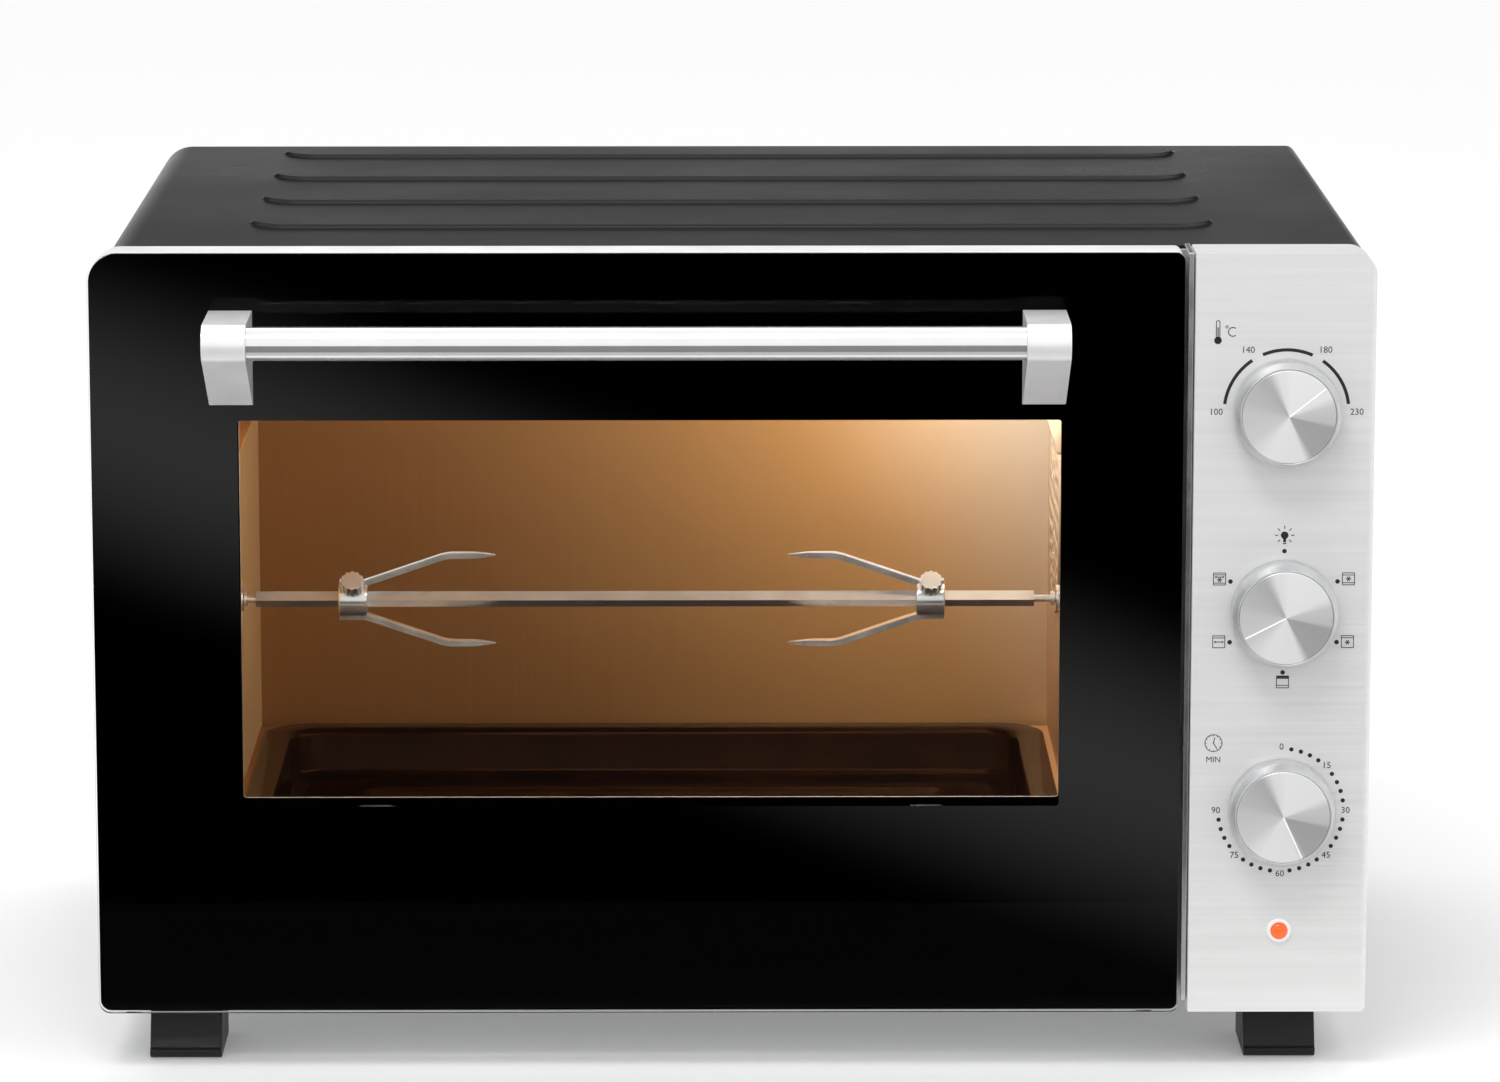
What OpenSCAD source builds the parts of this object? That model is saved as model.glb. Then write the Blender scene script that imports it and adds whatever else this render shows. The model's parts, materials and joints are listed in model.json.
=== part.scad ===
// Counter-top rotisserie oven. Millimetres, +X to the right seen from the front, front faces -Y, +Z up.
// The origin lies on the table under the middle of the whole object. Depth "t" is counted rearwards
// from the front face of the door glass.

/* [Overall] */
// Width over the door and the fascia
overall_w = 580; // [520:1:700]
// Height of the cover's top above the table
overall_h = 378; // [330:1:450]
// Depth from the front of the glass to the rear edge of the cover
body_d = 400; // [360:1:480]
// Height of the feet
foot_h = 27.5; // [18:0.5:32]

/* [Sheet metal] */
// Thickness of the cover, chamber and panel sheets
sheet_t = 1; // [0.6:0.1:1.2]
// Thickness of the base plate and the front frame
frame_t = 2; // [1.2:0.1:2.5]
// Outer radius of the cover's left shoulder
cover_r_left = 15; // [6:1:18]
// Outer radius of the cover's right shoulder
cover_r_right = 5; // [4:1:12]
// Distance by which the cover stands inside the door's and the fascia's outer edge
cover_inset = 3; // [1:0.5:5]
// Number of long embosses on the cover's top
emboss_n = 4; // [2:1:4]
// Width of an emboss
emboss_w = 34; // [20:1:40]
// Height of an emboss
emboss_h = 1.2; // [0.6:0.1:2]
// Distance from the cover's side edge to the end of an emboss
emboss_side = 63; // [40:1:90]
// Distance from the cover's front edge to the first emboss
emboss_front = 62; // [30:1:70]
// Distance from the last emboss to the cover's rear edge
emboss_rear = 10; // [8:1:20]

/* [Front] */
// Width of the door
door_w = 494; // [440:1:520]
// Thickness of the door
door_t = 30; // [28:1:34]
// Gap between the door and the fascia
fascia_gap = 4; // [3.4:0.1:6]
// Gap between the door's rear and the front frame
frame_gap = 4; // [3.6:0.1:6]
// Gap between the front frame's face and the front edge of the cover
cover_step = 2; // [2:0.5:4]
// Corner radius of the door at its top left
door_r = 13; // [4:0.5:16]
// Corner radius of the door's other corners
door_r_small = 4; // [2:0.5:8]
// Corner radius of the fascia at its top right
fascia_r = 11; // [4:0.5:16]
// Radius of the fascia's folded right edge
fascia_edge_r = 4; // [2:0.5:5]
// Thickness of the fascia sheet
fascia_sheet = 1.2; // [0.8:0.1:1.4]

/* [Door] */
// Thickness of each glass pane
glass_t = 4; // [3:0.5:4]
// Thickness of the printed border behind the outer pane
print_t = 0.2; // [0.1:0.05:0.3]
// Thickness of the door frame sheet
door_sheet = 1.2; // [0.8:0.1:1.5]
// Window margins in the printed border: left, right, bottom, top
win_left = 66.6; // [50:0.1:90]
win_right = 55.4; // [50:0.1:90]
win_bottom = 95.9; // [80:0.1:110]
win_top = 76.2; // [70:0.1:90]
// Lap of the inner pane behind the frame's opening
pane_lap = 10; // [6:1:12]
// Depth of the hinge axis behind the front of the glass
hinge_t = 10; // [10:0.5:11]
// Height of the hinge axis above the door's lower edge
hinge_z = 12; // [12:0.5:13]
// Diameter of the hinge pins
hinge_pin_d = 5; // [4:0.5:5]
// Thickness of a hinge arm
hinge_arm_w = 3; // [2:0.5:4]
// Distance of a hinge arm from the door's side
hinge_arm_in = 14; // [13:1:20]
// Running clearance of pins and shafts, on the radius
run_gap = 0.05; // [0.02:0.01:0.09]

/* [Handle] */
// Diameter of the handle bar
bar_d = 15.2; // [12:0.2:16]
// Distance from the glass to the bar's axis
bar_out = 40; // [34:0.5:44]
// Distance from the door's top to the bar's axis
bar_down = 34.5; // [30:0.5:40]
// Width of a bracket
bracket_w = 19.6; // [14:0.1:24]
// Height of a bracket's foot on the glass
bracket_h = 43; // [38:0.5:50]
// Distance from the door's left side to the left bracket
bracket_left = 54.6; // [40:0.1:80]
// Distance from the door's right side to the right bracket
bracket_right = 54; // [40:0.1:80]

/* [Chamber] */
// Distance from the door's left side to the chamber
chamber_left = 52; // [46:1:60]
// Distance from the chamber to the door's right side
chamber_right = 43; // [36:1:50]
// Height of the chamber floor above the feet
chamber_up = 9; // [7:1:14]
// Distance from the chamber roof to the cover's top
chamber_down = 29; // [20:1:40]
// Distance from the chamber's rear wall to the cover's rear edge
chamber_rear = 41; // [32:1:60]
// Height of the tray's rim above the chamber floor
tray_rim_up = 52; // [42:1:54]
// Depth of the tray
tray_depth = 25; // [18:1:27]
// Clearance of the tray's rim at each side
tray_gap = 3; // [2:0.5:4]
// Width of the tray's rim
tray_rim_w = 13; // [9:0.5:15]
// Corner radius of the tray's pan
tray_r = 22; // [12:1:30]
// Width of a rack guide's ledge
guide_w = 12; // [8:0.5:14]
// Height of the upper rack guide above the lower one
guide_pitch = 192; // [185:1:195]
// Diameter of a heater tube
heater_d = 6.8; // [6:0.1:8]
// Distance of the upper heaters below the roof
heater_top = 18; // [14:1:24]
// Height of the lower heaters above the floor
heater_low = 11; // [8:1:12]
// Depths of the front and rear heaters
heater_depths = [110, 262];

/* [Spit] */
// Depth of the spit's axis
spit_t = 195; // [180:1:215]
// Height of the spit above the chamber floor
spit_up = 146.5; // [120:0.5:152]
// Side of the square spit bar
spit_w = 5.4; // [4:0.1:6]
// Diameter of the spit's round necks
neck_d = 3.4; // [3:0.1:4]
// Clearance of a fork on the bar, each side
fork_gap = 0.1; // [0.05:0.05:0.2]
// Places of the fork hubs from the chamber's left and right wall
fork_left_in = 56; // [45:1:70]
fork_right_in = 65; // [55:1:80]
// Width of a fork hub along the bar
hub_w = 14; // [10:1:18]
// Radius of a fork hub
hub_r = 8.5; // [8:0.5:10]
// Distance between a prong's straight part and the spit's axis
prong_out = 21.5; // [16:0.5:24]
// Length of the sloping part of a prong
prong_slope = 38; // [28:1:42]
// Length of the straight, pointed part of a prong
prong_tip = 24; // [16:1:28]
// Width of a prong
prong_w = 6.5; // [5:0.5:8]
// Thickness of a prong
prong_t = 2.4; // [1.5:0.1:3]
// Diameter of a thumbscrew's head
thumb_d = 11; // [9:0.5:12]

/* [Controls] */
// Diameter of a knob at its base
knob_d = 48.5; // [40:0.5:50]
// Diameter of a knob's cap
knob_cap_d = 42.5; // [34:0.5:43]
// Height of a knob
knob_h = 15; // [12:0.5:20]
// Gap between a knob and the fascia
knob_gap = 0.8; // [0.5:0.1:1.5]
// Diameter of the control shafts
shaft_d = 6; // [5:0.5:6]
// Height of the knob row: distance of the top knob below the top edge
knob_top = 71.9; // [60:0.1:90]
// Distance between two knobs
knob_pitch = 92; // [75:0.1:95]
// Height of the indicator above the fascia's lower edge
lamp_up = 38.3; // [30:0.1:45]
// Diameter of the indicator's lens
lamp_d = 7.6; // [5:0.1:8]

/* [Fan and drive] */
// Depth of the fan's axis
fan_t = 278; // [276:1:285]
// Height of the fan above the chamber floor
fan_up = 175; // [170:1:177]
// Diameter of the fan wheel
fan_d = 84; // [70:1:88]
// Depth of the fan housing
fan_housing_d = 22; // [20:1:24]
// Number of fan blades
fan_blades = 8; // [6:1:12]

/* [Mounts] */
// Bore of the cord gland
gland_bore = 7.4; // [6.5:0.1:8]
// Length of the cord gland
gland_len = 20; // [16:1:24]
// Distance by which the gland and the wall spacers stand behind the rear panel
rear_reach = 14; // [10:1:16]

/* [Hidden] */
$fn = 64;

cut = 1;                                      // how far a cutter reaches past the faces it cuts
door_x0 = -overall_w / 2;
door_x1 = door_x0 + door_w;
fascia_x0 = door_x1 + fascia_gap;
fascia_x1 = overall_w / 2;
front_z0 = foot_h;
front_z1 = overall_h;
frame_face_t = door_t + frame_gap;
cover_t0 = frame_face_t + cover_step;
cover_x = overall_w / 2 - cover_inset;
inside_x = cover_x - sheet_t;                 // inner face of the cover's sides

nose_r = 9;                                   // radius of a handle bracket's nose
handle_reach = bar_out + nose_r;
rear_panel_t = body_d - 3;
rear_panel_t1 = rear_panel_t + sheet_t;
rear_end = rear_panel_t1 + rear_reach;
y_glass = (handle_reach - rear_end) / 2;      // Y of the glass front, so that Y = 0 is the middle

win_x0 = door_x0 + win_left;
win_x1 = door_x1 - win_right;
win_z0 = front_z0 + win_bottom;
win_z1 = front_z1 - win_top;
hinge_y_z = front_z0 + hinge_z;
pin_r = hinge_pin_d / 2;
arm_end_r = pin_r + run_gap + 2.4;            // radius of a hinge arm's eye
arm_x_left = door_x0 + hinge_arm_in;
arm_x_right = door_x1 - hinge_arm_in - hinge_arm_w;
rib_gap = 10;                                 // room between a hinge arm and the rib beside it

ch_x0 = door_x0 + chamber_left;
ch_x1 = door_x1 - chamber_right;
ch_z0 = foot_h + chamber_up;
ch_z1 = overall_h - chamber_down;
ch_t0 = frame_face_t + frame_t;
ch_t1 = body_d - chamber_rear;

spit_z = ch_z0 + spit_up;
neck_r = neck_d / 2;
bar_left = ch_x0 + 9;                         // ends of the square bar
bar_right = ch_x1 - 15;
tip_end = ch_x1 + 6;                          // end of the spit's drive tip
socket_r = 6.5;
shank_r = 3.5;
motor_x = ch_x1 + sheet_t + 23;               // face of the spit motor's plate
fork_left_x = ch_x0 + fork_left_in;           // middle of a fork hub
fork_right_x = ch_x1 - fork_right_in;

fan_z = ch_z0 + fan_up;
fan_r = fan_d / 2;
pan_r = fan_r + 6;
wall_out_x = ch_x1 + sheet_t;                 // outer face of the chamber's right wall
pan_x1 = wall_out_x + fan_housing_d;
fan_motor_x = pan_x1 + sheet_t;
fan_shaft_r = 2;

lamp_t = 180;
lamp_z = ch_z1 - 35;
lamp_hole_r = 21.2;

rim_z = ch_z0 + tray_rim_up;
tray_x0 = ch_x0 + tray_gap;
tray_x1 = ch_x1 - tray_gap;
tray_t0 = ch_t0 + 6;
tray_t1 = ch_t1 - 7;
ledge_z = rim_z - 1.4;

heater_r = heater_d / 2;
heater_zs = [ch_z1 - heater_top, ch_z0 + heater_low];

knob_x = (fascia_x0 + fascia_x1) / 2 + 0.6;
knob_zs = [for (i = [0:2]) front_z1 - knob_top - i * knob_pitch];
shaft_r = shaft_d / 2;
bracket_t = 12;                               // face of the control bracket
bush_r = 4.2;                                 // threaded neck of a control
lamp_r = lamp_d / 2;
ind_z = front_z0 + lamp_up;

foot_x0 = 236;
foot_w = 33;
foot_depths = [22, body_d - 62];
foot_len = 48;
gland_x = cover_x - 47;
gland_z = foot_h + 44;
gland_r = gland_bore / 2 + 2.6;

// --- helpers -------------------------------------------------------------------------------------

// points of a corner: an arc of radius r about a corner of a box, or the corner itself
function corner(x, z, sx, sz, r, a) =
  r > 0 ? [for (i = [0:10]) [x - sx * r + r * cos(a + i * 9), z - sz * r + r * sin(a + i * 9)]] : [[x, z]];

// outline of a box with its own radius at each corner: top left, top right, bottom right, bottom left
function outline(x0, z0, x1, z1, r) = concat(
  corner(x1, z1, 1, 1, r[1], 0), corner(x0, z1, -1, 1, r[0], 90),
  corner(x0, z0, -1, -1, r[3], 180), corner(x1, z0, 1, -1, r[2], 270));

// points along an arc
function arc(x, z, r, a0, a1, n = 12) = [for (i = [0:n]) let (a = a0 + (a1 - a0) * i / n) [x + r * cos(a), z + r * sin(a)]];

module block(x0, x1, t0, t1, z0, z1) {
  translate([x0, y_glass + t0, z0]) cube([x1 - x0, t1 - t0, z1 - z0]);
}

// a drawing in (x, z), made solid from depth t0 to t1
module upright(t0, t1) {
  translate([0, y_glass + t1, 0]) rotate([90, 0, 0]) linear_extrude(t1 - t0) children();
}

// a drawing in (t, z), made solid from x0 to x1
module sideways(x0, x1) {
  translate([x0, y_glass, 0]) rotate([90, 0, 90]) linear_extrude(x1 - x0) children();
}

// a drawing in (x, t), made solid from z0 to z1
module level(z0, z1) {
  translate([0, y_glass, z0]) linear_extrude(z1 - z0) children();
}

module rod_x(x0, x1, t, z, r) {
  translate([x0, y_glass + t, z]) rotate([0, 90, 0]) cylinder(h = x1 - x0, r = r);
}

module rod_y(x, t0, t1, z, r) {
  translate([x, y_glass + t1, z]) rotate([90, 0, 0]) cylinder(h = t1 - t0, r = r);
}

module rod_z(x, t, z0, z1, r) {
  translate([x, y_glass + t, z0]) cylinder(h = z1 - z0, r = r);
}

// --- cabinet -------------------------------------------------------------------------------------

emboss_len = 2 * (cover_x - emboss_side);
emboss_pitch = (body_d - cover_t0 - emboss_front - emboss_rear - emboss_w) / (emboss_n - 1);
emboss_bevel = 1.5;

module emboss(t) {
  half = emboss_w / 2;
  run = emboss_len / 2 - half;
  profile = [[0, 0], [half, 0], [half - emboss_bevel, emboss_h], [0, emboss_h]];
  translate([0, y_glass + t, overall_h - emboss_h]) {
    translate([-run, 0, 0]) rotate([90, 0, 90]) linear_extrude(2 * run)
      polygon([[-half, 0], [half, 0], [half - emboss_bevel, emboss_h], [emboss_bevel - half, emboss_h]]);
    for (side = [0, 1]) mirror([side, 0, 0]) translate([run, 0, 0]) rotate([0, 0, -90])
      rotate_extrude(angle = 180) polygon(profile);
  }
}

cover_top = overall_h - emboss_h;             // top sheet, below the embosses

module cover_slots() {
  for (side = [-1, 1]) for (i = [0:8])
    block(side * cover_x - 4, side * cover_x + 4, body_d - 130 + i * 11, body_d - 126 + i * 11,
          foot_h + 34, foot_h + 76);
}

module outer_cover() {
  radii = [cover_r_left, cover_r_right, 0, 0];
  inner = [cover_r_left - sheet_t, cover_r_right - sheet_t, 0, 0];
  color("#1c1c1d") difference() {
    union() {
      upright(cover_t0, body_d) difference() {
        polygon(outline(-cover_x, foot_h, cover_x, cover_top, radii));
        polygon(outline(-inside_x, foot_h - cut, inside_x, cover_top - sheet_t, inner));
      }
      for (i = [0:emboss_n - 1]) emboss(cover_t0 + emboss_front + emboss_w / 2 + i * emboss_pitch);
    }
    cover_slots();
  }
}

foot_hole_ts = [for (t = foot_depths) t + foot_len / 2 + 8];
foot_xs = [-foot_x0 - foot_w / 2, foot_x0 + foot_w / 2];
screw_r = 2;
screw_hole_r = 2.3;

module base_plate() {
  color("#7f8184") difference() {
    block(-inside_x, inside_x, cover_t0, body_d - 1, foot_h, foot_h + frame_t);
    for (x = foot_xs, t = foot_hole_ts) rod_z(x, t, foot_h - cut, foot_h + frame_t + cut, screw_hole_r);
    for (i = [0:9]) block(foot_x0 - 28 - i * 3, foot_x0 - 27 - i * 3 + 0.6, 150, 210, foot_h - cut, foot_h + frame_t + cut);
  }
}

// places of the rear panel's screws
panel_xs = [-inside_x + 12, 0, inside_x - 12];
panel_zs = [foot_h + 14, overall_h - 22];

module rear_panel() {
  z0 = foot_h + frame_t;
  z1 = cover_top - sheet_t - 0.6;
  x1 = inside_x - 0.3;
  radii = [cover_r_left - sheet_t, cover_r_right - sheet_t, 0, 0];
  color("#2a2a2b") difference() {
    upright(rear_panel_t, rear_panel_t1) difference() {
      polygon(outline(-x1, z0, x1, z1, radii));
      for (row = [0:5], col = [0:3])
        translate([ch_x1 - 10 + col * 30, overall_h - 110 + row * 11]) square([24, 4]);
      for (row = [0:2], col = [0:7])
        translate([-210 + col * 34, foot_h + 40 + row * 11]) square([24, 4]);
    }
    for (x = panel_xs, z = panel_zs) rod_y(x, rear_panel_t - cut, rear_panel_t1 + cut, z, screw_hole_r);
    rod_y(gland_x, rear_panel_t - cut, rear_panel_t1 + cut, gland_z, gland_r);
  }
}

// round-headed screw along Y, its head behind the rear panel
module panel_screw(x, z) {
  rod_y(x, rear_panel_t - 9, rear_panel_t1, z, screw_r);
  rod_y(x, rear_panel_t1, rear_panel_t1 + 2.2, z, 4);
}

foot_head_z = 12;                             // underside of a foot screw's head
foot_bore_r = 5.5;

module cabinet_screws() {
  color("#b9bbbd") {
    for (x = panel_xs, z = panel_zs) panel_screw(x, z);
    for (x = foot_xs, t = foot_hole_ts) {
      rod_z(x, t, foot_head_z, foot_head_z + 3, 4);
      rod_z(x, t, foot_head_z + 3, foot_h + frame_t + 5, screw_r);
    }
  }
}

module wall_spacers() {
  color("#232323") for (x = [-inside_x + 40, inside_x - 90])
    difference() {
      upright(rear_panel_t1, rear_end) polygon(outline(x, overall_h - 130, x + 26, overall_h - 84, [4, 4, 4, 4]));
      block(x + 3, x + 23, rear_panel_t1 - cut, rear_end - 3, overall_h - 127, overall_h - 87);
    }
}

module cord_gland() {
  flange_r = gland_r + 3;
  inner_t = rear_end - gland_len;
  color("#151515") difference() {
    union() {
      rod_y(gland_x, inner_t, rear_end, gland_z, gland_r);
      rod_y(gland_x, rear_panel_t1, rear_panel_t1 + 2.5, gland_z, flange_r);
      rod_y(gland_x, rear_panel_t - 2.5, rear_panel_t, gland_z, flange_r);
    }
    rod_y(gland_x, inner_t - cut, rear_end + cut, gland_z, gland_bore / 2);
  }
}

foot_top_t = 12;                              // how far the foot's top stands behind its toe

module feet() {
  profile = concat([[foot_top_t, foot_h], [2, 5]], arc(4, 4, 4, 180, 270, 4),
                   [[foot_len - 1, 0], [foot_len, 1], [foot_len, foot_h]]);
  color("#1a1a1a") for (x = foot_xs, i = [0, 1]) difference() {
    translate([0, foot_depths[i], 0]) sideways(x - foot_w / 2, x + foot_w / 2) polygon(profile);
    rod_z(x, foot_hole_ts[i], -cut, foot_head_z + 3, foot_bore_r);
    rod_z(x, foot_hole_ts[i], foot_head_z, foot_h + cut, screw_hole_r);
  }
}

flange_depth = 14;                            // depth of the front frame's flange inside the cover
bay_x0 = ch_x1 + 55;                          // opening behind the fascia
bay_x1 = fascia_x1 - 9;

module front_frame() {
  gap = 0.6;
  x1 = inside_x - gap;
  z0 = foot_h + frame_t;
  z1 = cover_top - sheet_t - gap;
  radii = [cover_r_left - sheet_t, cover_r_right - sheet_t, 0, 0];
  small = [for (r = radii) max(r - frame_t, 0)];
  color("#8b8d90") {
    upright(frame_face_t, ch_t0) difference() {
      polygon(outline(-x1, z0, x1, z1, radii));
      polygon(outline(ch_x0, ch_z0, ch_x1, ch_z1, [0, 0, 0, 0]));
      polygon(outline(bay_x0, z0 + 14, bay_x1, z1 - 14, [4, 4, 4, 4]));
    }
    upright(ch_t0, ch_t0 + flange_depth) difference() {
      polygon(outline(-x1, z0, x1, z1, radii));
      polygon(outline(-x1 + frame_t, z0 + frame_t, x1 - frame_t, z1 - frame_t, small));
    }
  }
}

module hinge_arms() {
  color("#9a9ca0") for (x = [arm_x_left, arm_x_right]) difference() {
    union() {
      block(x, x + hinge_arm_w, hinge_t, frame_face_t, hinge_y_z - arm_end_r, hinge_y_z + arm_end_r);
      rod_x(x, x + hinge_arm_w, hinge_t, hinge_y_z, arm_end_r);
    }
    rod_x(x - cut, x + hinge_arm_w + cut, hinge_t, hinge_y_z, pin_r + run_gap);
  }
}

// --- fascia and controls -------------------------------------------------------------------------

module fascia_shape(inset) {
  r = max(fascia_r - inset, 0.5);
  e = max(fascia_edge_r - inset, 0.5);
  x0 = fascia_x0 + inset;
  x1 = fascia_x1 - inset;
  intersection() {
    upright(inset, door_t + inset) polygon(outline(x0, front_z0 + inset, x1, front_z1 - inset, [1, r, 2, 1]));
    level(front_z0, front_z1) polygon(outline(x0, inset, x1, door_t + inset, [0, 0, e, 1]));
  }
}

module control_fascia() {
  color("#dcdcdb") difference() {
    fascia_shape(0);
    fascia_shape(fascia_sheet);
    for (z = knob_zs) rod_y(knob_x, -cut, fascia_sheet + cut, z, bush_r + 0.4);
    rod_y(knob_x, -cut, fascia_sheet + cut, ind_z, lamp_r + 0.6);
  }
}

trim_w = 2.4;

module door_side_trim() {
  x0 = fascia_x0 - 0.5 - trim_w;
  color("#c9cacc") upright(2, frame_face_t) polygon(outline(x0, front_z0 + 5, x0 + trim_w, front_z1, [0.8, 0, 0, 0.8]));
}

module control_bracket() {
  x0 = fascia_x0 + 6;
  x1 = fascia_x1 - 7;
  z0 = foot_h + 17;
  z1 = overall_h - 16;
  color("#a4a6a8") {
    difference() {
      block(x0, x1, bracket_t, bracket_t + 1.5, z0, z1);
      for (z = knob_zs) rod_y(knob_x, bracket_t - cut, bracket_t + 2.5, z, bush_r + 0.2);
      rod_y(knob_x, bracket_t - cut, bracket_t + 2.5, ind_z, lamp_r + 1.4);
    }
    for (x = [x0, x1 - 1.5]) block(x, x + 1.5, bracket_t + 1.5, frame_face_t, z0, z1);
  }
}

control_t = bracket_t + 1.5;                  // front of the controls' bodies

// a control's body with its threaded neck and the bore that its shaft turns in
module control_body(z, deep) {
  difference() {
    union() {
      children();
      rod_y(knob_x, 2, control_t, z, bush_r);
    }
    rod_y(knob_x, 2 - cut, control_t + deep, z, shaft_r + run_gap);
  }
}

module thermostat() {
  z = knob_zs[0];
  color("#c8c5bb") control_body(z, 14) {
    block(knob_x - 20, knob_x + 20, control_t, control_t + 16, z - 17, z + 17);
    rod_y(knob_x, control_t + 16, control_t + 22, z, 16);
    for (dx = [-12, 0, 12]) block(knob_x + dx - 3, knob_x + dx + 3, control_t + 22, control_t + 30, z - 0.5, z + 0.5);
  }
}

module function_switch() {
  z = knob_zs[1];
  color("#ddd9cc") control_body(z, 14) {
    rod_y(knob_x, control_t, control_t + 34, z, 21);
    for (a = [0:45:315], t = [8, 20])
      block(knob_x + 23 * cos(a) - 3, knob_x + 23 * cos(a) + 3, control_t + t, control_t + t + 1,
            z + 23 * sin(a) - 3, z + 23 * sin(a) + 3);
  }
}

module timer_unit() {
  z = knob_zs[2];
  color("#b5a98a") control_body(z, 14) {
    block(knob_x - 24, knob_x + 24, control_t, control_t + 28, z - 24, z + 24);
    rod_y(knob_x, control_t + 28, control_t + 38, z, 22);
  }
}

cap_t = -knob_gap - knob_h;                   // depth of a knob's cap

module knob(z) {
  base_r = knob_d / 2;
  cap_r = knob_cap_d / 2;
  shoulder = 3.4;
  bore = knob_h - 5;
  color("#c4c5c6") translate([knob_x, y_glass - knob_gap, z]) rotate([90, 0, 0])
    rotate_extrude() polygon([
      [shaft_r, 0], [base_r - 1.5, 0], [base_r, 0.8], [base_r - 0.5, knob_h - shoulder],
      [cap_r + 0.6, knob_h], [cap_r, knob_h], [cap_r, knob_h - 1.2], [0, knob_h - 1.2],
      [0, bore], [shaft_r, bore]]);
}

module knob_cap(z) {
  r = knob_cap_d / 2;
  color("#e2e3e4") rod_y(knob_x, cap_t, cap_t + 1.2, z, r);
}

module control_shaft(z) {
  color("#a0a2a5") rod_y(knob_x, -knob_gap - knob_h + 5, control_t + 12, z, shaft_r);
}

module temperature_knob() knob(knob_zs[0]);
module temperature_knob_cap() knob_cap(knob_zs[0]);
module temperature_shaft() control_shaft(knob_zs[0]);
module function_knob() knob(knob_zs[1]);
module function_knob_cap() knob_cap(knob_zs[1]);
module function_shaft() control_shaft(knob_zs[1]);
module timer_knob() knob(knob_zs[2]);
module timer_knob_cap() knob_cap(knob_zs[2]);
module timer_shaft() control_shaft(knob_zs[2]);

module indicator_bezel() {
  color("#eeeeee") translate([knob_x, y_glass, ind_z]) rotate([90, 0, 0]) rotate_extrude()
    polygon([[lamp_r, -8], [lamp_r + 0.5, -8], [lamp_r + 0.5, 0], [lamp_r + 1.9, 0], [lamp_r + 1.3, 1.2], [lamp_r, 1.2]]);
}

module indicator_lens() {
  color("#e8502a") translate([knob_x, y_glass, ind_z]) rotate([90, 0, 0]) rotate_extrude()
    polygon(concat([[0, -20], [lamp_r - 0.8, -20], [lamp_r - 0.8, -8], [lamp_r, -8], [lamp_r, 1]],
                   [for (a = [0:15:90]) [lamp_r * cos(a), 1 + 1.6 * sin(a)]]));
}

// --- chamber -------------------------------------------------------------------------------------

module chamber_left_wall() {
  color("#c8a25e") difference() {
    block(ch_x0 - sheet_t, ch_x0, ch_t0, ch_t1, ch_z0, ch_z1);
    for (t = heater_depths, z = heater_zs) rod_x(ch_x0 - 3, ch_x0 + 3, t, z, 5);
    rod_x(ch_x0 - 3, ch_x0 + 3, spit_t, spit_z, 4);
  }
}

module chamber_right_wall() {
  color("#c8a25e") difference() {
    block(ch_x1, wall_out_x, ch_t0, ch_t1, ch_z0, ch_z1);
    for (t = heater_depths, z = heater_zs) rod_x(ch_x1 - 3, ch_x1 + 3, t, z, 5);
    rod_x(ch_x1 - 3, ch_x1 + 3, spit_t, spit_z, socket_r + 1.5);
    rod_x(ch_x1 - 3, ch_x1 + 3, lamp_t, lamp_z, lamp_hole_r);
    rod_x(ch_x1 - 3, ch_x1 + 3, fan_t, fan_z, pan_r - sheet_t);
  }
}

module chamber_rear_wall() {
  color("#c8a25e") block(ch_x0 - sheet_t, wall_out_x, ch_t1, ch_t1 + sheet_t, ch_z0 - sheet_t, ch_z1 + sheet_t);
}

module chamber_roof() {
  color("#c8a25e") block(ch_x0 - sheet_t, wall_out_x, ch_t0, ch_t1, ch_z1, ch_z1 + sheet_t);
}

module chamber_floor() {
  color("#c8a25e") block(ch_x0 - sheet_t, wall_out_x, ch_t0, ch_t1, ch_z0 - sheet_t, ch_z0);
}

module rack_guide(x_wall, dir, z) {
  leg = 8;
  x_leg = x_wall + dir * sheet_t;
  x_end = x_wall + dir * guide_w;
  block(min(x_wall, x_end), max(x_wall, x_end), ch_t0 + 14, ch_t1 - 9, z - sheet_t, z);
  block(min(x_wall, x_leg), max(x_wall, x_leg), ch_t0 + 14, ch_t1 - 9, z - leg, z - sheet_t);
}

module rack_guides() {
  color("#b9995c") for (z = [ledge_z, ledge_z + guide_pitch]) {
    rack_guide(ch_x0, 1, z);
    rack_guide(ch_x1, -1, z);
  }
}

bush_out = 7;                                 // length of a heater bush outside the wall

module heaters() {
  color("#4a4644") for (t = heater_depths, z = heater_zs) {
    rod_x(ch_x0 - sheet_t - bush_out - 3, wall_out_x + bush_out + 3, t, z, heater_r);
    rod_x(ch_x0 - sheet_t - bush_out - 13, ch_x0 - sheet_t - bush_out - 3, t, z, 1.5);
    rod_x(wall_out_x + bush_out + 3, wall_out_x + bush_out + 13, t, z, 1.5);
  }
}

module heater_bush(x0, x1, collar_x0, collar_x1, t, z) {
  difference() {
    union() {
      rod_x(x0, x1, t, z, 8);
      rod_x(collar_x0, collar_x1, t, z, 4.9);
    }
    rod_x(x0 - 3, x1 + 3, t, z, heater_r);
  }
}

module heater_bushes() {
  left = ch_x0 - sheet_t;
  color("#e9e6de") for (t = heater_depths, z = heater_zs) {
    heater_bush(left - bush_out, left, left - bush_out, ch_x0, t, z);
    heater_bush(wall_out_x, wall_out_x + bush_out, ch_x1, wall_out_x + bush_out, t, z);
  }
}

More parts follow.
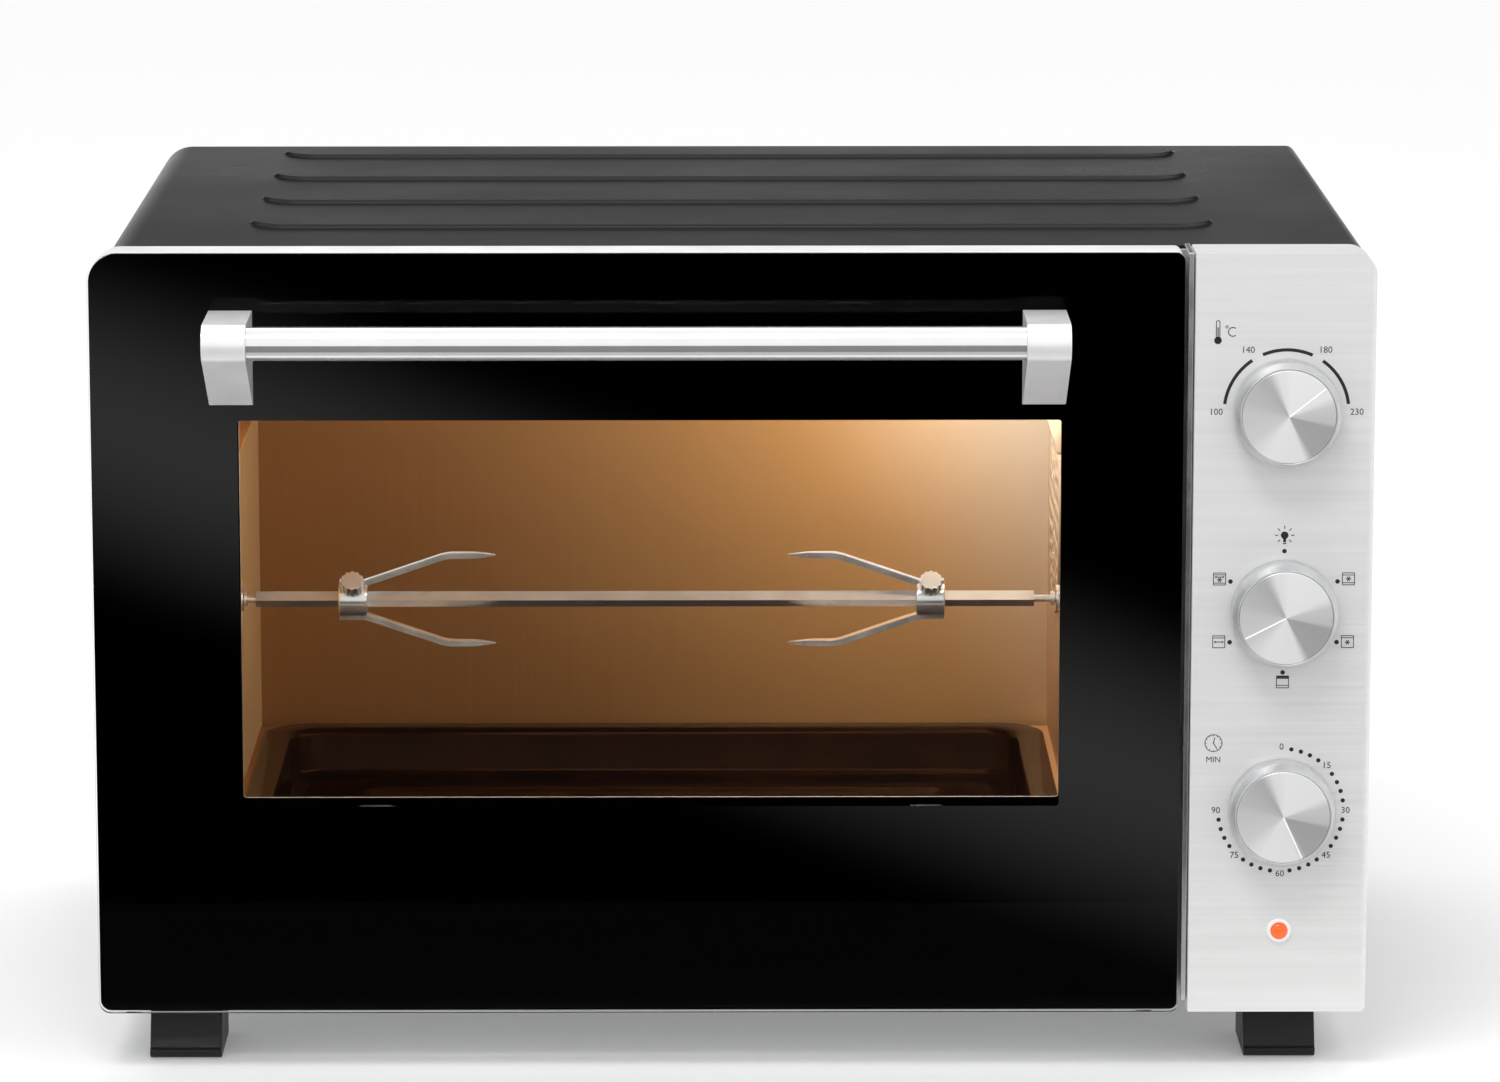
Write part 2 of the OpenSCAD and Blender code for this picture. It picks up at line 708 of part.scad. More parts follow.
module lamp_holder() {
  color("#dedbd2") difference() {
    union() {
      rod_x(wall_out_x, wall_out_x + 20, lamp_t, lamp_z, lamp_hole_r + 2);
      rod_x(wall_out_x + 20, wall_out_x + 36, lamp_t, lamp_z, 11);
    }
    rod_x(wall_out_x - cut, wall_out_x + 18.5, lamp_t, lamp_z, lamp_hole_r);
    rod_x(wall_out_x + 18, wall_out_x + 32, lamp_t, lamp_z, 7.2);
  }
}

module lamp_bulb() {
  color("#f4e7c0") translate([wall_out_x + 4, y_glass + lamp_t, lamp_z]) rotate([0, 90, 0]) rotate_extrude()
    polygon(concat([for (a = [-90:15:45]) [9 * cos(a), 9 + 9 * sin(a)]], [[5.5, 20], [6.4, 20], [6.4, 25.5], [0, 25.5]]));
}

module lamp_lens() {
  color("#f2e3b8") {
    rod_x(ch_x1 - 3, ch_x1, lamp_t, lamp_z, lamp_hole_r + 2);
    rod_x(ch_x1, wall_out_x + 2, lamp_t, lamp_z, lamp_hole_r - 0.4);
  }
}

module fan_housing() {
  color("#9c9ea1") difference() {
    union() {
      rod_x(wall_out_x, pan_x1 + sheet_t, fan_t, fan_z, pan_r);
      rod_x(wall_out_x, wall_out_x + sheet_t, fan_t, fan_z, pan_r + 5);
    }
    rod_x(wall_out_x - cut, pan_x1, fan_t, fan_z, pan_r - sheet_t);
    rod_x(pan_x1 - cut, pan_x1 + 3, fan_t, fan_z, fan_shaft_r + 1);
  }
}

module fan_motor() {
  x0 = fan_motor_x;
  color("#8e6a3c") difference() {
    union() {
      block(x0, x0 + 12, fan_t - 22, fan_t + 22, fan_z - 20, fan_z + 20);
      rod_x(x0 + 12, x0 + 20, fan_t, fan_z, 13);
    }
    rod_x(x0 - cut, x0 + 17, fan_t, fan_z, fan_shaft_r + run_gap);
  }
}

module fan_wheel() {
  x0 = wall_out_x + 5;
  x1 = pan_x1 - 4;
  color("#b7babd") {
    rod_x(x1 - 1, x1, fan_t, fan_z, fan_r);
    rod_x(x0, x1 - 1, fan_t, fan_z, 5);
    rod_x(x1, fan_motor_x + 15, fan_t, fan_z, fan_shaft_r);
    for (i = [0:fan_blades - 1]) translate([0, y_glass + fan_t, fan_z]) rotate([i * 360 / fan_blades, 0, 0])
      translate([x0, 12, -0.5]) cube([x1 - 1 - x0, fan_r - 14, 1]);
  }
}

module fan_grille() {
  rings = [[0, 1], [11, 8], [21, 14], [31, 20], [40, 26]];
  color("#c8a25e") difference() {
    rod_x(ch_x1 - 1.5, ch_x1, fan_t, fan_z, pan_r + 3);
    for (ring = rings, i = [0:ring[1] - 1])
      rod_x(ch_x1 - 4, ch_x1 + 3, fan_t + ring[0] * cos(i * 360 / ring[1]),
            fan_z + ring[0] * sin(i * 360 / ring[1]), 3.2);
  }
}

module heat_shield() {
  x = bay_x0 - 5;
  color("#b4b6b8") difference() {
    block(x, x + sheet_t, ch_t0 + flange_depth + 10, rear_panel_t - 8, foot_h + frame_t, cover_top - 12);
    for (i = [0:5]) block(x - cut, x + 2, 90 + i * 14, 96 + i * 14, foot_h + 24, foot_h + 64);
  }
}

// --- spit ----------------------------------------------------------------------------------------

module square_bar(x0, x1, w) {
  translate([x0, y_glass + spit_t, spit_z]) rotate([45, 0, 0]) translate([0, -w / 2, -w / 2]) cube([x1 - x0, w, w]);
}

module spit_motor() {
  back = motor_x + 20;
  color("#9fa2a6") difference() {
    union() {
      rod_x(motor_x, motor_x + 2, spit_t, spit_z, 25);
      rod_x(motor_x + 2, back, spit_t, spit_z, 22);
      for (dz = [-19, 19]) rod_x(wall_out_x, motor_x, spit_t, spit_z + dz, 3);
    }
    rod_x(motor_x - cut, motor_x + 14, spit_t, spit_z, shank_r + run_gap);
  }
}

module drive_socket() {
  mouth = ch_x1 - 4.5;
  color("#c5c7c9") difference() {
    union() {
      rod_x(mouth, motor_x - 3, spit_t, spit_z, socket_r);
      rod_x(motor_x - 3, motor_x + 12, spit_t, spit_z, shank_r);
    }
    rod_x(mouth - cut, tip_end + 1, spit_t, spit_z, neck_r + 1.6);
  }
}

module spit_support() {
  color("#c5c7c9") difference() {
    union() {
      rod_x(ch_x0, ch_x0 + 3, spit_t, spit_z, 6);
      rod_x(ch_x0 - 4, ch_x0, spit_t, spit_z, 3.8);
    }
    rod_x(ch_x0 - 5, ch_x0 + 4, spit_t, spit_z, neck_r + run_gap);
  }
}

module spit_rod() {
  color("#d3d5d7") {
    square_bar(bar_left, bar_right, spit_w);
    rod_x(ch_x0 - 3, bar_left, spit_t, spit_z, neck_r);
    rod_x(ch_x0 + 3.4, ch_x0 + 4.8, spit_t, spit_z, 3.4);
    rod_x(bar_right, ch_x1 - 5, spit_t, spit_z, neck_r);
    rod_x(ch_x1 - 7, ch_x1 - 5.2, spit_t, spit_z, 3.4);
    square_bar(ch_x1 - 5, tip_end, neck_d);
  }
}

// a fork whose prongs point along +X from a hub at the origin
module fork() {
  half = hub_w / 2;
  lay = prong_t / 2;
  bent_x = half + prong_slope;
  start = hub_r - 1;
  color("#d9dbdd") difference() {
    union() {
      rotate([0, 90, 0]) translate([0, 0, -half]) cylinder(h = hub_w, r = hub_r);
      for (side = [0, 1]) mirror([0, 0, side]) translate([0, prong_w / 2, 0]) rotate([90, 0, 0])
        linear_extrude(prong_w) polygon([
          [-half, start - lay], [half, start - lay], [bent_x, prong_out - lay],
          [bent_x + prong_tip - 6, prong_out - lay], [bent_x + prong_tip, prong_out],
          [bent_x + prong_tip - 6, prong_out + lay], [bent_x - 1, prong_out + lay],
          [half - 1, start + lay], [-half, start + lay]]);
    }
    rotate([45, 0, 0]) translate([-half - cut, -spit_w / 2 - fork_gap, -spit_w / 2 - fork_gap])
      cube([hub_w + 2 * cut, spit_w + 2 * fork_gap, spit_w + 2 * fork_gap]);
    rotate([45, 0, 0]) cylinder(h = hub_r + 6, r = screw_r + run_gap);
  }
}

module at_left_fork() translate([fork_left_x, y_glass + spit_t, spit_z]) children();
module at_right_fork() translate([fork_right_x, y_glass + spit_t, spit_z]) mirror([1, 0, 0]) children();

module thumbscrew() {
  ribs = 12;
  color("#e3e5e6") rotate([45, 0, 0]) {
    translate([0, 0, spit_w / 2 + 0.3]) cylinder(h = hub_r + 3, r = screw_r);
    translate([0, 0, hub_r + 2.4]) linear_extrude(5) {
      circle(r = thumb_d / 2 - 0.6);
      for (i = [0:ribs - 1]) rotate(i * 360 / ribs) translate([thumb_d / 2 - 0.9, -0.6]) square([0.9, 1.2]);
    }
  }
}

module left_fork() at_left_fork() fork();
module right_fork() at_right_fork() fork();
module left_thumbscrew() at_left_fork() thumbscrew();
module right_thumbscrew() at_right_fork() thumbscrew();

// --- tray ----------------------------------------------------------------------------------------

module tray_outline(inset) {
  r = max(tray_r - inset / 2, 2);
  polygon(outline(tray_x0 + inset, tray_t0 + inset, tray_x1 - inset, tray_t1 - inset, [r, r, r, r]));
}

module drip_tray() {
  z0 = rim_z - tray_depth;
  ring = 34;
  color("#26201d") {
    level(ledge_z, rim_z) difference() {
      tray_outline(0);
      tray_outline(tray_rim_w + sheet_t);
    }
    level(z0, ledge_z) difference() {
      tray_outline(tray_rim_w);
      tray_outline(tray_rim_w + sheet_t);
    }
    level(z0, z0 + sheet_t) tray_outline(tray_rim_w + sheet_t / 2);
    level(z0 + sheet_t / 2, z0 + 3) difference() {
      tray_outline(tray_rim_w + ring);
      tray_outline(tray_rim_w + ring + 7);
    }
  }
}

// --- door ----------------------------------------------------------------------------------------

door_radii = [door_r, door_r_small, door_r_small, door_r_small + 1.5];

module door_plate(t0, t1, inset) {
  radii = [for (r = door_radii) max(r - inset, 0.5)];
  upright(t0, t1) polygon(outline(door_x0 + inset, front_z0 + inset, door_x1 - inset, front_z1 - inset, radii));
}

module window(t0, t1, grow) {
  upright(t0, t1) polygon(outline(win_x0 - grow, win_z0 - grow, win_x1 + grow, win_z1 + grow, [1.5, 1.5, 1.5, 1.5]));
}

screw_zs = [front_z1 - bar_down - 18, front_z1 - bar_down - 2];
bracket_xs = [door_x0 + bracket_left, door_x1 - bracket_right - bracket_w];

// the holes that a handle bracket's screws pass through
module handle_holes(t0, t1, r) {
  for (x = bracket_xs, z = screw_zs) rod_y(x + bracket_w / 2, t0, t1, z, r);
}

module door_outer_glass() {
  color("#0a0a0b") difference() {
    door_plate(0, glass_t, 0);
    handle_holes(-cut, glass_t + cut, screw_hole_r);
  }
}

border_t1 = glass_t + print_t;

module door_glass_border() {
  color("#050505") difference() {
    door_plate(glass_t, border_t1, 0.5);
    window(glass_t - cut, border_t1 + cut, 0);
    handle_holes(glass_t - cut, border_t1 + cut, screw_hole_r);
  }
}

back_t = door_t - door_sheet;                 // front face of the frame's rear plate
pane_open = 1;                                // how far the rear plate's opening stands outside the window

module hinge_slots() {
  for (x = [arm_x_left, arm_x_right])
    block(x - 2, x + hinge_arm_w + 2, border_t1 - cut, door_t + cut, front_z0 - cut, hinge_y_z + arm_end_r + 3);
}

// ribs that hold the inner ends of the hinge pins
rib_left_x = arm_x_left + hinge_arm_w + rib_gap;
rib_right_x = arm_x_right - rib_gap - 2;

module hinge_ribs() {
  for (x = [rib_left_x, rib_right_x])
    block(x, x + 2, border_t1, back_t, front_z0 + door_sheet, hinge_y_z + 14);
}

module door_frame() {
  side = door_sheet;
  color("#c6c8ca") difference() {
    union() {
      difference() {
        door_plate(border_t1, door_t, 0.5);
        door_plate(border_t1 - cut, back_t, 0.5 + side);
      }
      hinge_ribs();
    }
    window(back_t - cut, door_t + cut, pane_open);
    hinge_slots();
    rod_x(door_x0 + 1, arm_x_left + hinge_arm_w + rib_gap + 5, hinge_t, hinge_y_z, pin_r);
    rod_x(arm_x_right - rib_gap - 5, door_x1 - 1, hinge_t, hinge_y_z, pin_r);
  }
}

module hinge_pins() {
  color("#d0d2d4") {
    rod_x(door_x0 + 1, rib_left_x + 2, hinge_t, hinge_y_z, pin_r);
    rod_x(rib_right_x, door_x1 - 1, hinge_t, hinge_y_z, pin_r);
  }
}

module door_inner_glass() {
  color([0.75, 0.82, 0.8, 0.35])
    upright(back_t - glass_t, back_t)
      polygon(outline(win_x0 - pane_lap, win_z0 - pane_lap, win_x1 + pane_lap, win_z1 + pane_lap, [2, 2, 2, 2]));
}

clip_w = 14;

// a bent clip: one leg on the rear plate beside the pane, the other on the pane's front
module glass_clip(x, z, angle) {
  translate([x, 0, z]) rotate([0, angle, 0]) {
    block(-clip_w / 2, clip_w / 2, back_t - glass_t - 1, back_t - glass_t, -6, 1);
    block(-clip_w / 2, clip_w / 2, back_t - glass_t, back_t, 0.2, 1);
    block(-clip_w / 2, clip_w / 2, back_t - 1, back_t, 1, 8);
  }
}

module glass_clips() {
  lap = pane_lap;
  xs = [win_x0 + 60, win_x1 - 60];
  color("#a8aaac") {
    for (x = xs) {
      glass_clip(x, win_z1 + lap, 0);
      glass_clip(x, win_z0 - lap, 180);
    }
    glass_clip(win_x1 + lap, (win_z0 + win_z1) / 2, 90);
    glass_clip(win_x0 - lap, (win_z0 + win_z1) / 2, -90);
  }
}

bar_z = front_z1 - bar_down;

module handle_bar() {
  color("#d6d8da") difference() {
    rod_x(bracket_xs[0] + bracket_w, bracket_xs[1], -bar_out, bar_z, bar_d / 2);
    rod_x(bracket_xs[0] + bracket_w - cut, bracket_xs[1] + cut, -bar_out, bar_z, bar_d / 2 - 1.2);
  }
}

module bracket_profile() {
  top = bar_z + nose_r;
  bottom = top - bracket_h;
  polygon(concat([[0, bottom], [0, top]], arc(-bar_out, bar_z, nose_r, 90, 237), [[-3, bottom + 0.6]]));
}

module handle_brackets() {
  color("#cfd1d3") difference() {
    for (x = bracket_xs) sideways(x, x + bracket_w) bracket_profile();
    handle_holes(-8, cut, screw_r);
  }
}

module handle_screws() {
  color("#b9bbbd") {
    handle_holes(-8, border_t1, screw_r);
    handle_holes(border_t1, border_t1 + 3, 4.2);
  }
}

outer_cover();
base_plate();
rear_panel();
cabinet_screws();
wall_spacers();
cord_gland();
front_frame();
control_fascia();
door_side_trim();
hinge_arms();
feet();
chamber_left_wall();
chamber_right_wall();
chamber_rear_wall();
chamber_roof();
chamber_floor();
rack_guides();
heaters();
heater_bushes();
lamp_holder();
lamp_bulb();
lamp_lens();
fan_housing();
fan_motor();
fan_wheel();
fan_grille();
heat_shield();
control_bracket();
thermostat();
function_switch();
timer_unit();
temperature_knob();
temperature_knob_cap();
temperature_shaft();
function_knob();
function_knob_cap();
function_shaft();
timer_knob();
timer_knob_cap();
timer_shaft();
indicator_bezel();
indicator_lens();
spit_motor();
drive_socket();
spit_support();
spit_rod();
left_fork();
right_fork();
left_thumbscrew();
right_thumbscrew();
drip_tray();
door_frame();
door_outer_glass();
door_glass_border();
door_inner_glass();
glass_clips();
hinge_pins();
handle_bar();
handle_brackets();
handle_screws();
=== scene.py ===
"""Looks of the rotisserie oven: camera, studio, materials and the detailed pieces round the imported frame.

Metres, +X to the right seen from the front, the front faces -Y, +Z up.
"""

import json
import math

import bmesh
import bpy
from mathutils import Matrix, Vector

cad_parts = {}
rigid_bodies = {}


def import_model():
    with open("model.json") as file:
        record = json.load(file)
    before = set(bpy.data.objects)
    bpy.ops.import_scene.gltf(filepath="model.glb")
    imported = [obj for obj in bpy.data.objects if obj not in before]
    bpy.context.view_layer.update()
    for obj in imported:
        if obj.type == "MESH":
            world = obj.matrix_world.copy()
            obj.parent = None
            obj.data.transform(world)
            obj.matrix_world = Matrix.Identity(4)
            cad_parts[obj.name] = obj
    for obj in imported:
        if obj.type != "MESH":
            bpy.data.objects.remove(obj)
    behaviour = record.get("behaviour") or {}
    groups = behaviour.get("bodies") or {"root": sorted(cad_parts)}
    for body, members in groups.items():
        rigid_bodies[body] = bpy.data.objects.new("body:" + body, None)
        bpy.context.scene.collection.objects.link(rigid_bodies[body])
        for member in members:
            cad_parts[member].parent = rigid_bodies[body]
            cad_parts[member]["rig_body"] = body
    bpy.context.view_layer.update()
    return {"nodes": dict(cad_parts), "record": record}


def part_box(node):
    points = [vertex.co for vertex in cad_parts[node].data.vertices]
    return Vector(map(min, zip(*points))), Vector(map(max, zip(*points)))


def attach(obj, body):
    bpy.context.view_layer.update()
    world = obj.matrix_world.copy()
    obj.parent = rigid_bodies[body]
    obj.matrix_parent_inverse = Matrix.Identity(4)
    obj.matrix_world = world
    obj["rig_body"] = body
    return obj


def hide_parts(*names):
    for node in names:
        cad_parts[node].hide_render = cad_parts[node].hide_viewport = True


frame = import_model()

MM = 0.001
scene = bpy.context.scene
nodes = frame["nodes"]


# --- places read from the frame --------------------------------------------------------------------


def middle(node):
    """The middle of a node's box."""
    low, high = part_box(node)
    return (low + high) / 2


def chamber_box():
    """The lowest and highest inner corners of the cooking chamber."""
    floor_low, floor_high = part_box("chamber_floor")
    low = Vector((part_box("chamber_left_wall")[1].x, floor_low.y, floor_high.z))
    high = Vector((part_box("chamber_right_wall")[0].x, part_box("chamber_rear_wall")[0].y,
                   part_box("chamber_roof")[0].z))
    return low, high


fascia_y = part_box("control_fascia")[0].y
chamber_low, chamber_high = chamber_box()
spit_axis = middle("spit_rod")
KNOBS = ("temperature", "function", "timer")
knob_centres = {name: middle(f"{name}_knob_cap") for name in KNOBS}


# --- camera and studio -----------------------------------------------------------------------------

CAMERA_PLACE = (-0.0114, -3.1605, 0.7981)
CAMERA_PITCH, CAMERA_YAW = 10.48, 0.37  # degrees down, and to the right
LENS, SENSOR = 160.86, 36  # millimetres
FLOOR_HALF = 14.0  # from the middle to each edge
CARD_HALF, CARD_LIFT = 1.8, 0.002  # half width of the floor cards, and their height over the floor


def make_camera():
    """A long lens in front of the oven, a little above it and looking down."""
    pitch, yaw = math.radians(CAMERA_PITCH), math.radians(CAMERA_YAW)
    data = bpy.data.cameras.new("camera")
    data.sensor_width = SENSOR
    data.lens = LENS
    data.clip_end = 60
    camera = bpy.data.objects.new("camera", data)
    scene.collection.objects.link(camera)
    camera.location = CAMERA_PLACE
    forward = Vector((math.sin(yaw) * math.cos(pitch), math.cos(yaw) * math.cos(pitch), -math.sin(pitch)))
    camera.rotation_euler = forward.to_track_quat("-Z", "Y").to_euler()
    scene.camera = camera


def make_world():
    """Even white light from all round, shown without a film curve."""
    world = bpy.data.worlds.new("studio")
    world.use_nodes = True
    background = world.node_tree.nodes["Background"]
    background.inputs["Color"].default_value = (1.0, 1.0, 1.0, 1.0)
    background.inputs["Strength"].default_value = 1.0
    scene.world = world
    scene.view_settings.view_transform = "Standard"
    scene.view_settings.look = "None"


def flat_sheet(name, corners):
    """An object of one four-cornered face."""
    sheet = bpy.data.objects.new(name, mesh_from(name, corners, [(0, 1, 2, 3)]))
    scene.collection.objects.link(sheet)
    return sheet


def make_floor():
    """The white studio floor, faintly lit by itself so that it runs out into the background."""
    half = FLOOR_HALF
    floor = flat_sheet("floor", [(-half, -half, 0), (half, -half, 0), (half, half, 0), (-half, half, 0)])
    material = bpy.data.materials.new("floor")
    material.use_nodes = True
    shader = material.node_tree.nodes["Principled BSDF"]
    shader.inputs["Base Color"].default_value = (0.77, 0.77, 0.77, 1)
    shader.inputs["Roughness"].default_value = 0.5
    shader.inputs["Emission Color"].default_value = (1, 1, 1, 1)
    shader.inputs["Emission Strength"].default_value = 0.15
    floor.data.materials.append(material)


def reflection_card(name, corners, grey):
    """A card seen only in reflections and through glass, as a studio flag or a bounce board is."""
    card = flat_sheet(name, corners)
    material = bpy.data.materials.new(name)
    material.use_nodes = True
    tree = material.node_tree
    tree.nodes.clear()
    glow = tree.nodes.new("ShaderNodeEmission")
    glow.inputs["Color"].default_value = (grey, grey, grey, 1)
    output = tree.nodes.new("ShaderNodeOutputMaterial")
    tree.links.new(glow.outputs[0], output.inputs["Surface"])
    card.data.materials.append(material)
    for ray in ("camera", "diffuse", "shadow", "volume_scatter"):
        setattr(card, f"visible_{ray}", False)


def floor_card(name, far, near, grey):
    """A reflection card lying in front of the oven, between two places along Y."""
    corners = ((-CARD_HALF, far), (CARD_HALF, far), (CARD_HALF, near), (-CARD_HALF, near))
    reflection_card(name, [(x, y, CARD_LIFT) for x, y in corners], grey)


def area_light(name, place, target, size, power, colour=(1, 1, 1)):
    """A soft light, aimed at a target."""
    data = bpy.data.lights.new(name, "AREA")
    data.shape = "RECTANGLE"
    data.size, data.size_y = size
    data.energy = power
    data.color = colour
    light = bpy.data.objects.new(name, data)
    scene.collection.objects.link(light)
    light.location = place
    light.rotation_euler = (Vector(target) - Vector(place)).to_track_quat("-Z", "Y").to_euler()
    return light


def point_light(name, place, radius, power, colour):
    """A small lamp that lights things but is not itself seen or mirrored."""
    data = bpy.data.lights.new(name, "POINT")
    data.shadow_soft_size = radius
    data.energy = power
    data.color = colour
    light = bpy.data.objects.new(name, data)
    scene.collection.objects.link(light)
    light.location = place
    light.visible_camera = light.visible_transmission = light.visible_glossy = False


def light_studio():
    """Two soft boxes, and the cards that keep the glass black and the cover's top dark."""
    area_light("key_light", (-0.5, -1.5, 2.6), target=(0, -0.1, 0.2), size=(1.4, 0.7), power=34)
    area_light("top_light", (0.3, 0.9, 2.2), target=(0, 0.1, 0.3), size=(1.8, 0.9), power=10)
    card_edge = -0.50
    floor_card("dark_floor_card", -3.6, card_edge, grey=0.02)
    floor_card("grey_floor_card", card_edge, -0.30, grey=0.45)
    half, behind, bottom, top = 3, 1.7, 0.57, 1.9
    corners = ((-half, bottom), (half, bottom), (half, top), (-half, top))
    reflection_card("dark_rear_card", [(x, behind, z) for x, z in corners], 0.03)


def light_chamber():
    """The warm oven lamp, and two small fills for the light that the gold walls pass on."""
    before_lens = middle("lamp_lens") + Vector((-0.04, 0.075, -0.005))
    point_light("oven_lamp", before_lens, radius=0.025, power=1.2, colour=(1.0, 0.89, 0.75))
    low, high = chamber_low, chamber_high
    left_top = (low.x + 0.055, low.y + 0.05, high.z - 0.06)
    point_light("left_fill", left_top, radius=0.03, power=0.36, colour=(1.0, 0.84, 0.62))
    mouth_top = (0.0, low.y + 0.03, high.z - 0.02)
    fill = area_light("window_fill", mouth_top, spit_axis, size=(0.3, 0.02), power=0.26,
                      colour=(1.0, 0.97, 0.92))
    fill.visible_camera = fill.visible_transmission = False


# --- shader building blocks ------------------------------------------------------------------------


def new_group(name, inputs, outputs):
    """An empty shader node group with named float inputs and outputs of the given kinds."""
    group = bpy.data.node_groups.new(name, "ShaderNodeTree")
    for label, default in inputs:
        socket = group.interface.new_socket(label, in_out="INPUT", socket_type="NodeSocketFloat")
        socket.default_value = default
    for label, kind in outputs:
        group.interface.new_socket(label, in_out="OUTPUT", socket_type=kind)
    source = group.nodes.new("NodeGroupInput")
    target = group.nodes.new("NodeGroupOutput")
    return group, source, target


def math_node(tree, operation, first, second=0.0):
    """One step of arithmetic on two values, each a number or a socket."""
    node = tree.nodes.new("ShaderNodeMath")
    node.operation = operation
    for socket, value in zip(node.inputs, (first, second)):
        if isinstance(value, (int, float)):
            socket.default_value = value
        else:
            tree.links.new(value, socket)
    return node.outputs[0]


def object_point(tree, scale=(1, 1, 1), centre=(0, 0, 0), turn=(0, 0, 0)):
    """Object coordinates, counted from centre, turned and scaled."""
    coordinates = tree.nodes.new("ShaderNodeTexCoord")
    shift = tree.nodes.new("ShaderNodeVectorMath")
    shift.operation = "SUBTRACT"
    shift.inputs[1].default_value = centre
    tree.links.new(coordinates.outputs["Object"], shift.inputs[0])
    mapping = tree.nodes.new("ShaderNodeMapping")
    mapping.inputs["Scale"].default_value = scale
    mapping.inputs["Rotation"].default_value = turn
    tree.links.new(shift.outputs[0], mapping.inputs["Vector"])
    return mapping.outputs[0]


def noise(tree, vector, scale, detail, rough=0.55):
    """Noise from 0 to 1, whose scale is a number or a socket."""
    node = tree.nodes.new("ShaderNodeTexNoise")
    node.inputs["Detail"].default_value = detail
    node.inputs["Roughness"].default_value = rough
    tree.links.new(vector, node.inputs["Vector"])
    if isinstance(scale, (int, float)):
        node.inputs["Scale"].default_value = scale
    else:
        tree.links.new(scale, node.inputs["Scale"])
    return node.outputs["Fac"]


def mix_colour(tree, factor, first, second):
    """first where factor is 0 and second where it is 1, each a colour or a socket."""
    node = tree.nodes.new("ShaderNodeMix")
    node.data_type = "RGBA"
    tree.links.new(factor, node.inputs["Factor"])
    for socket, value in ((node.inputs[6], first), (node.inputs[7], second)):
        if isinstance(value, tuple):
            socket.default_value = (*value, 1)
        else:
            tree.links.new(value, socket)
    return node.outputs[2]


def build_grain_group():
    """Fine moulded or stoved grain: a height, and a slow patchy mask for handling marks."""
    group, source, target = new_group(
        "surface_grain",
        [("Grain Scale", 900.0), ("Patch Scale", 14.0)],
        [("Height", "NodeSocketFloat"), ("Patches", "NodeSocketFloat")],
    )
    point = object_point(group)
    group.links.new(noise(group, point, source.outputs["Grain Scale"], 2.0), target.inputs["Height"])
    patches = noise(group, point, source.outputs["Patch Scale"], 4.0, 0.6)
    group.links.new(patches, target.inputs["Patches"])
    return group


def build_brush_group():
    """Long fine scratches along X with a slow variation across them."""
    group, source, target = new_group(
        "brushed_lines",
        [("Line Scale", 1.0)],
        [("Lines", "NodeSocketFloat"), ("Bands", "NodeSocketFloat")],
    )
    fine = object_point(group, (9, 2600, 2600))
    wide = object_point(group, (2, 240, 240))
    group.links.new(noise(group, fine, source.outputs["Line Scale"], 2.0), target.inputs["Lines"])
    group.links.new(noise(group, wide, source.outputs["Line Scale"], 3.0), target.inputs["Bands"])
    return group


grain_group = build_grain_group()
brush_group = build_brush_group()


def use_group(tree, group, **values):
    """A node of a shared group, its inputs set by their names."""
    node = tree.nodes.new("ShaderNodeGroup")
    node.node_tree = group
    for label, value in values.items():
        node.inputs[label.replace("_", " ")].default_value = value
    return node


def blank(name):
    """A new material, its node tree and its Principled shader."""
    material = bpy.data.materials.new(name)
    material.use_nodes = True
    tree = material.node_tree
    return material, tree, tree.nodes["Principled BSDF"]


def span(tree, value, low, high):
    """value, which runs from 0 to 1, brought to run from low to high."""
    node = tree.nodes.new("ShaderNodeMapRange")
    node.inputs["To Min"].default_value = low
    node.inputs["To Max"].default_value = high
    tree.links.new(value, node.inputs["Value"])
    return node.outputs[0]


def contrast(tree, value, low, high):
    """value cut to the range between low and high and spread from 0 to 1."""
    node = tree.nodes.new("ShaderNodeMapRange")
    node.interpolation_type = "SMOOTHSTEP"
    node.inputs["From Min"].default_value = low
    node.inputs["From Max"].default_value = high
    tree.links.new(value, node.inputs["Value"])
    return node.outputs[0]


def add_bump(tree, shader, height, strength, distance):
    """Roughens the surface by a height socket."""
    bump = tree.nodes.new("ShaderNodeBump")
    bump.inputs["Strength"].default_value = strength
    bump.inputs["Distance"].default_value = distance
    tree.links.new(height, bump.inputs["Height"])
    tree.links.new(bump.outputs[0], shader.inputs["Normal"])


def grained(name, light, dark, rough, metallic=0.0, grain=900.0, patch=14.0, bump=0.25, depth=0.00004,
            specular=0.5, tint=(1.0, 1.0, 1.0)):
    """Paint, plastic or plain metal: two close tones in slow patches, patchy roughness and a fine grain."""
    material, tree, shader = blank(name)
    surface = use_group(tree, grain_group, Grain_Scale=grain, Patch_Scale=patch)
    patches = contrast(tree, surface.outputs["Patches"], 0.3, 0.7)
    tree.links.new(mix_colour(tree, patches, dark, light), shader.inputs["Base Color"])
    tree.links.new(span(tree, patches, *rough), shader.inputs["Roughness"])
    shader.inputs["Metallic"].default_value = metallic
    shader.inputs["Specular IOR Level"].default_value = specular
    shader.inputs["Specular Tint"].default_value = (*tint, 1.0)
    add_bump(tree, shader, surface.outputs["Height"], bump, depth)
    return material


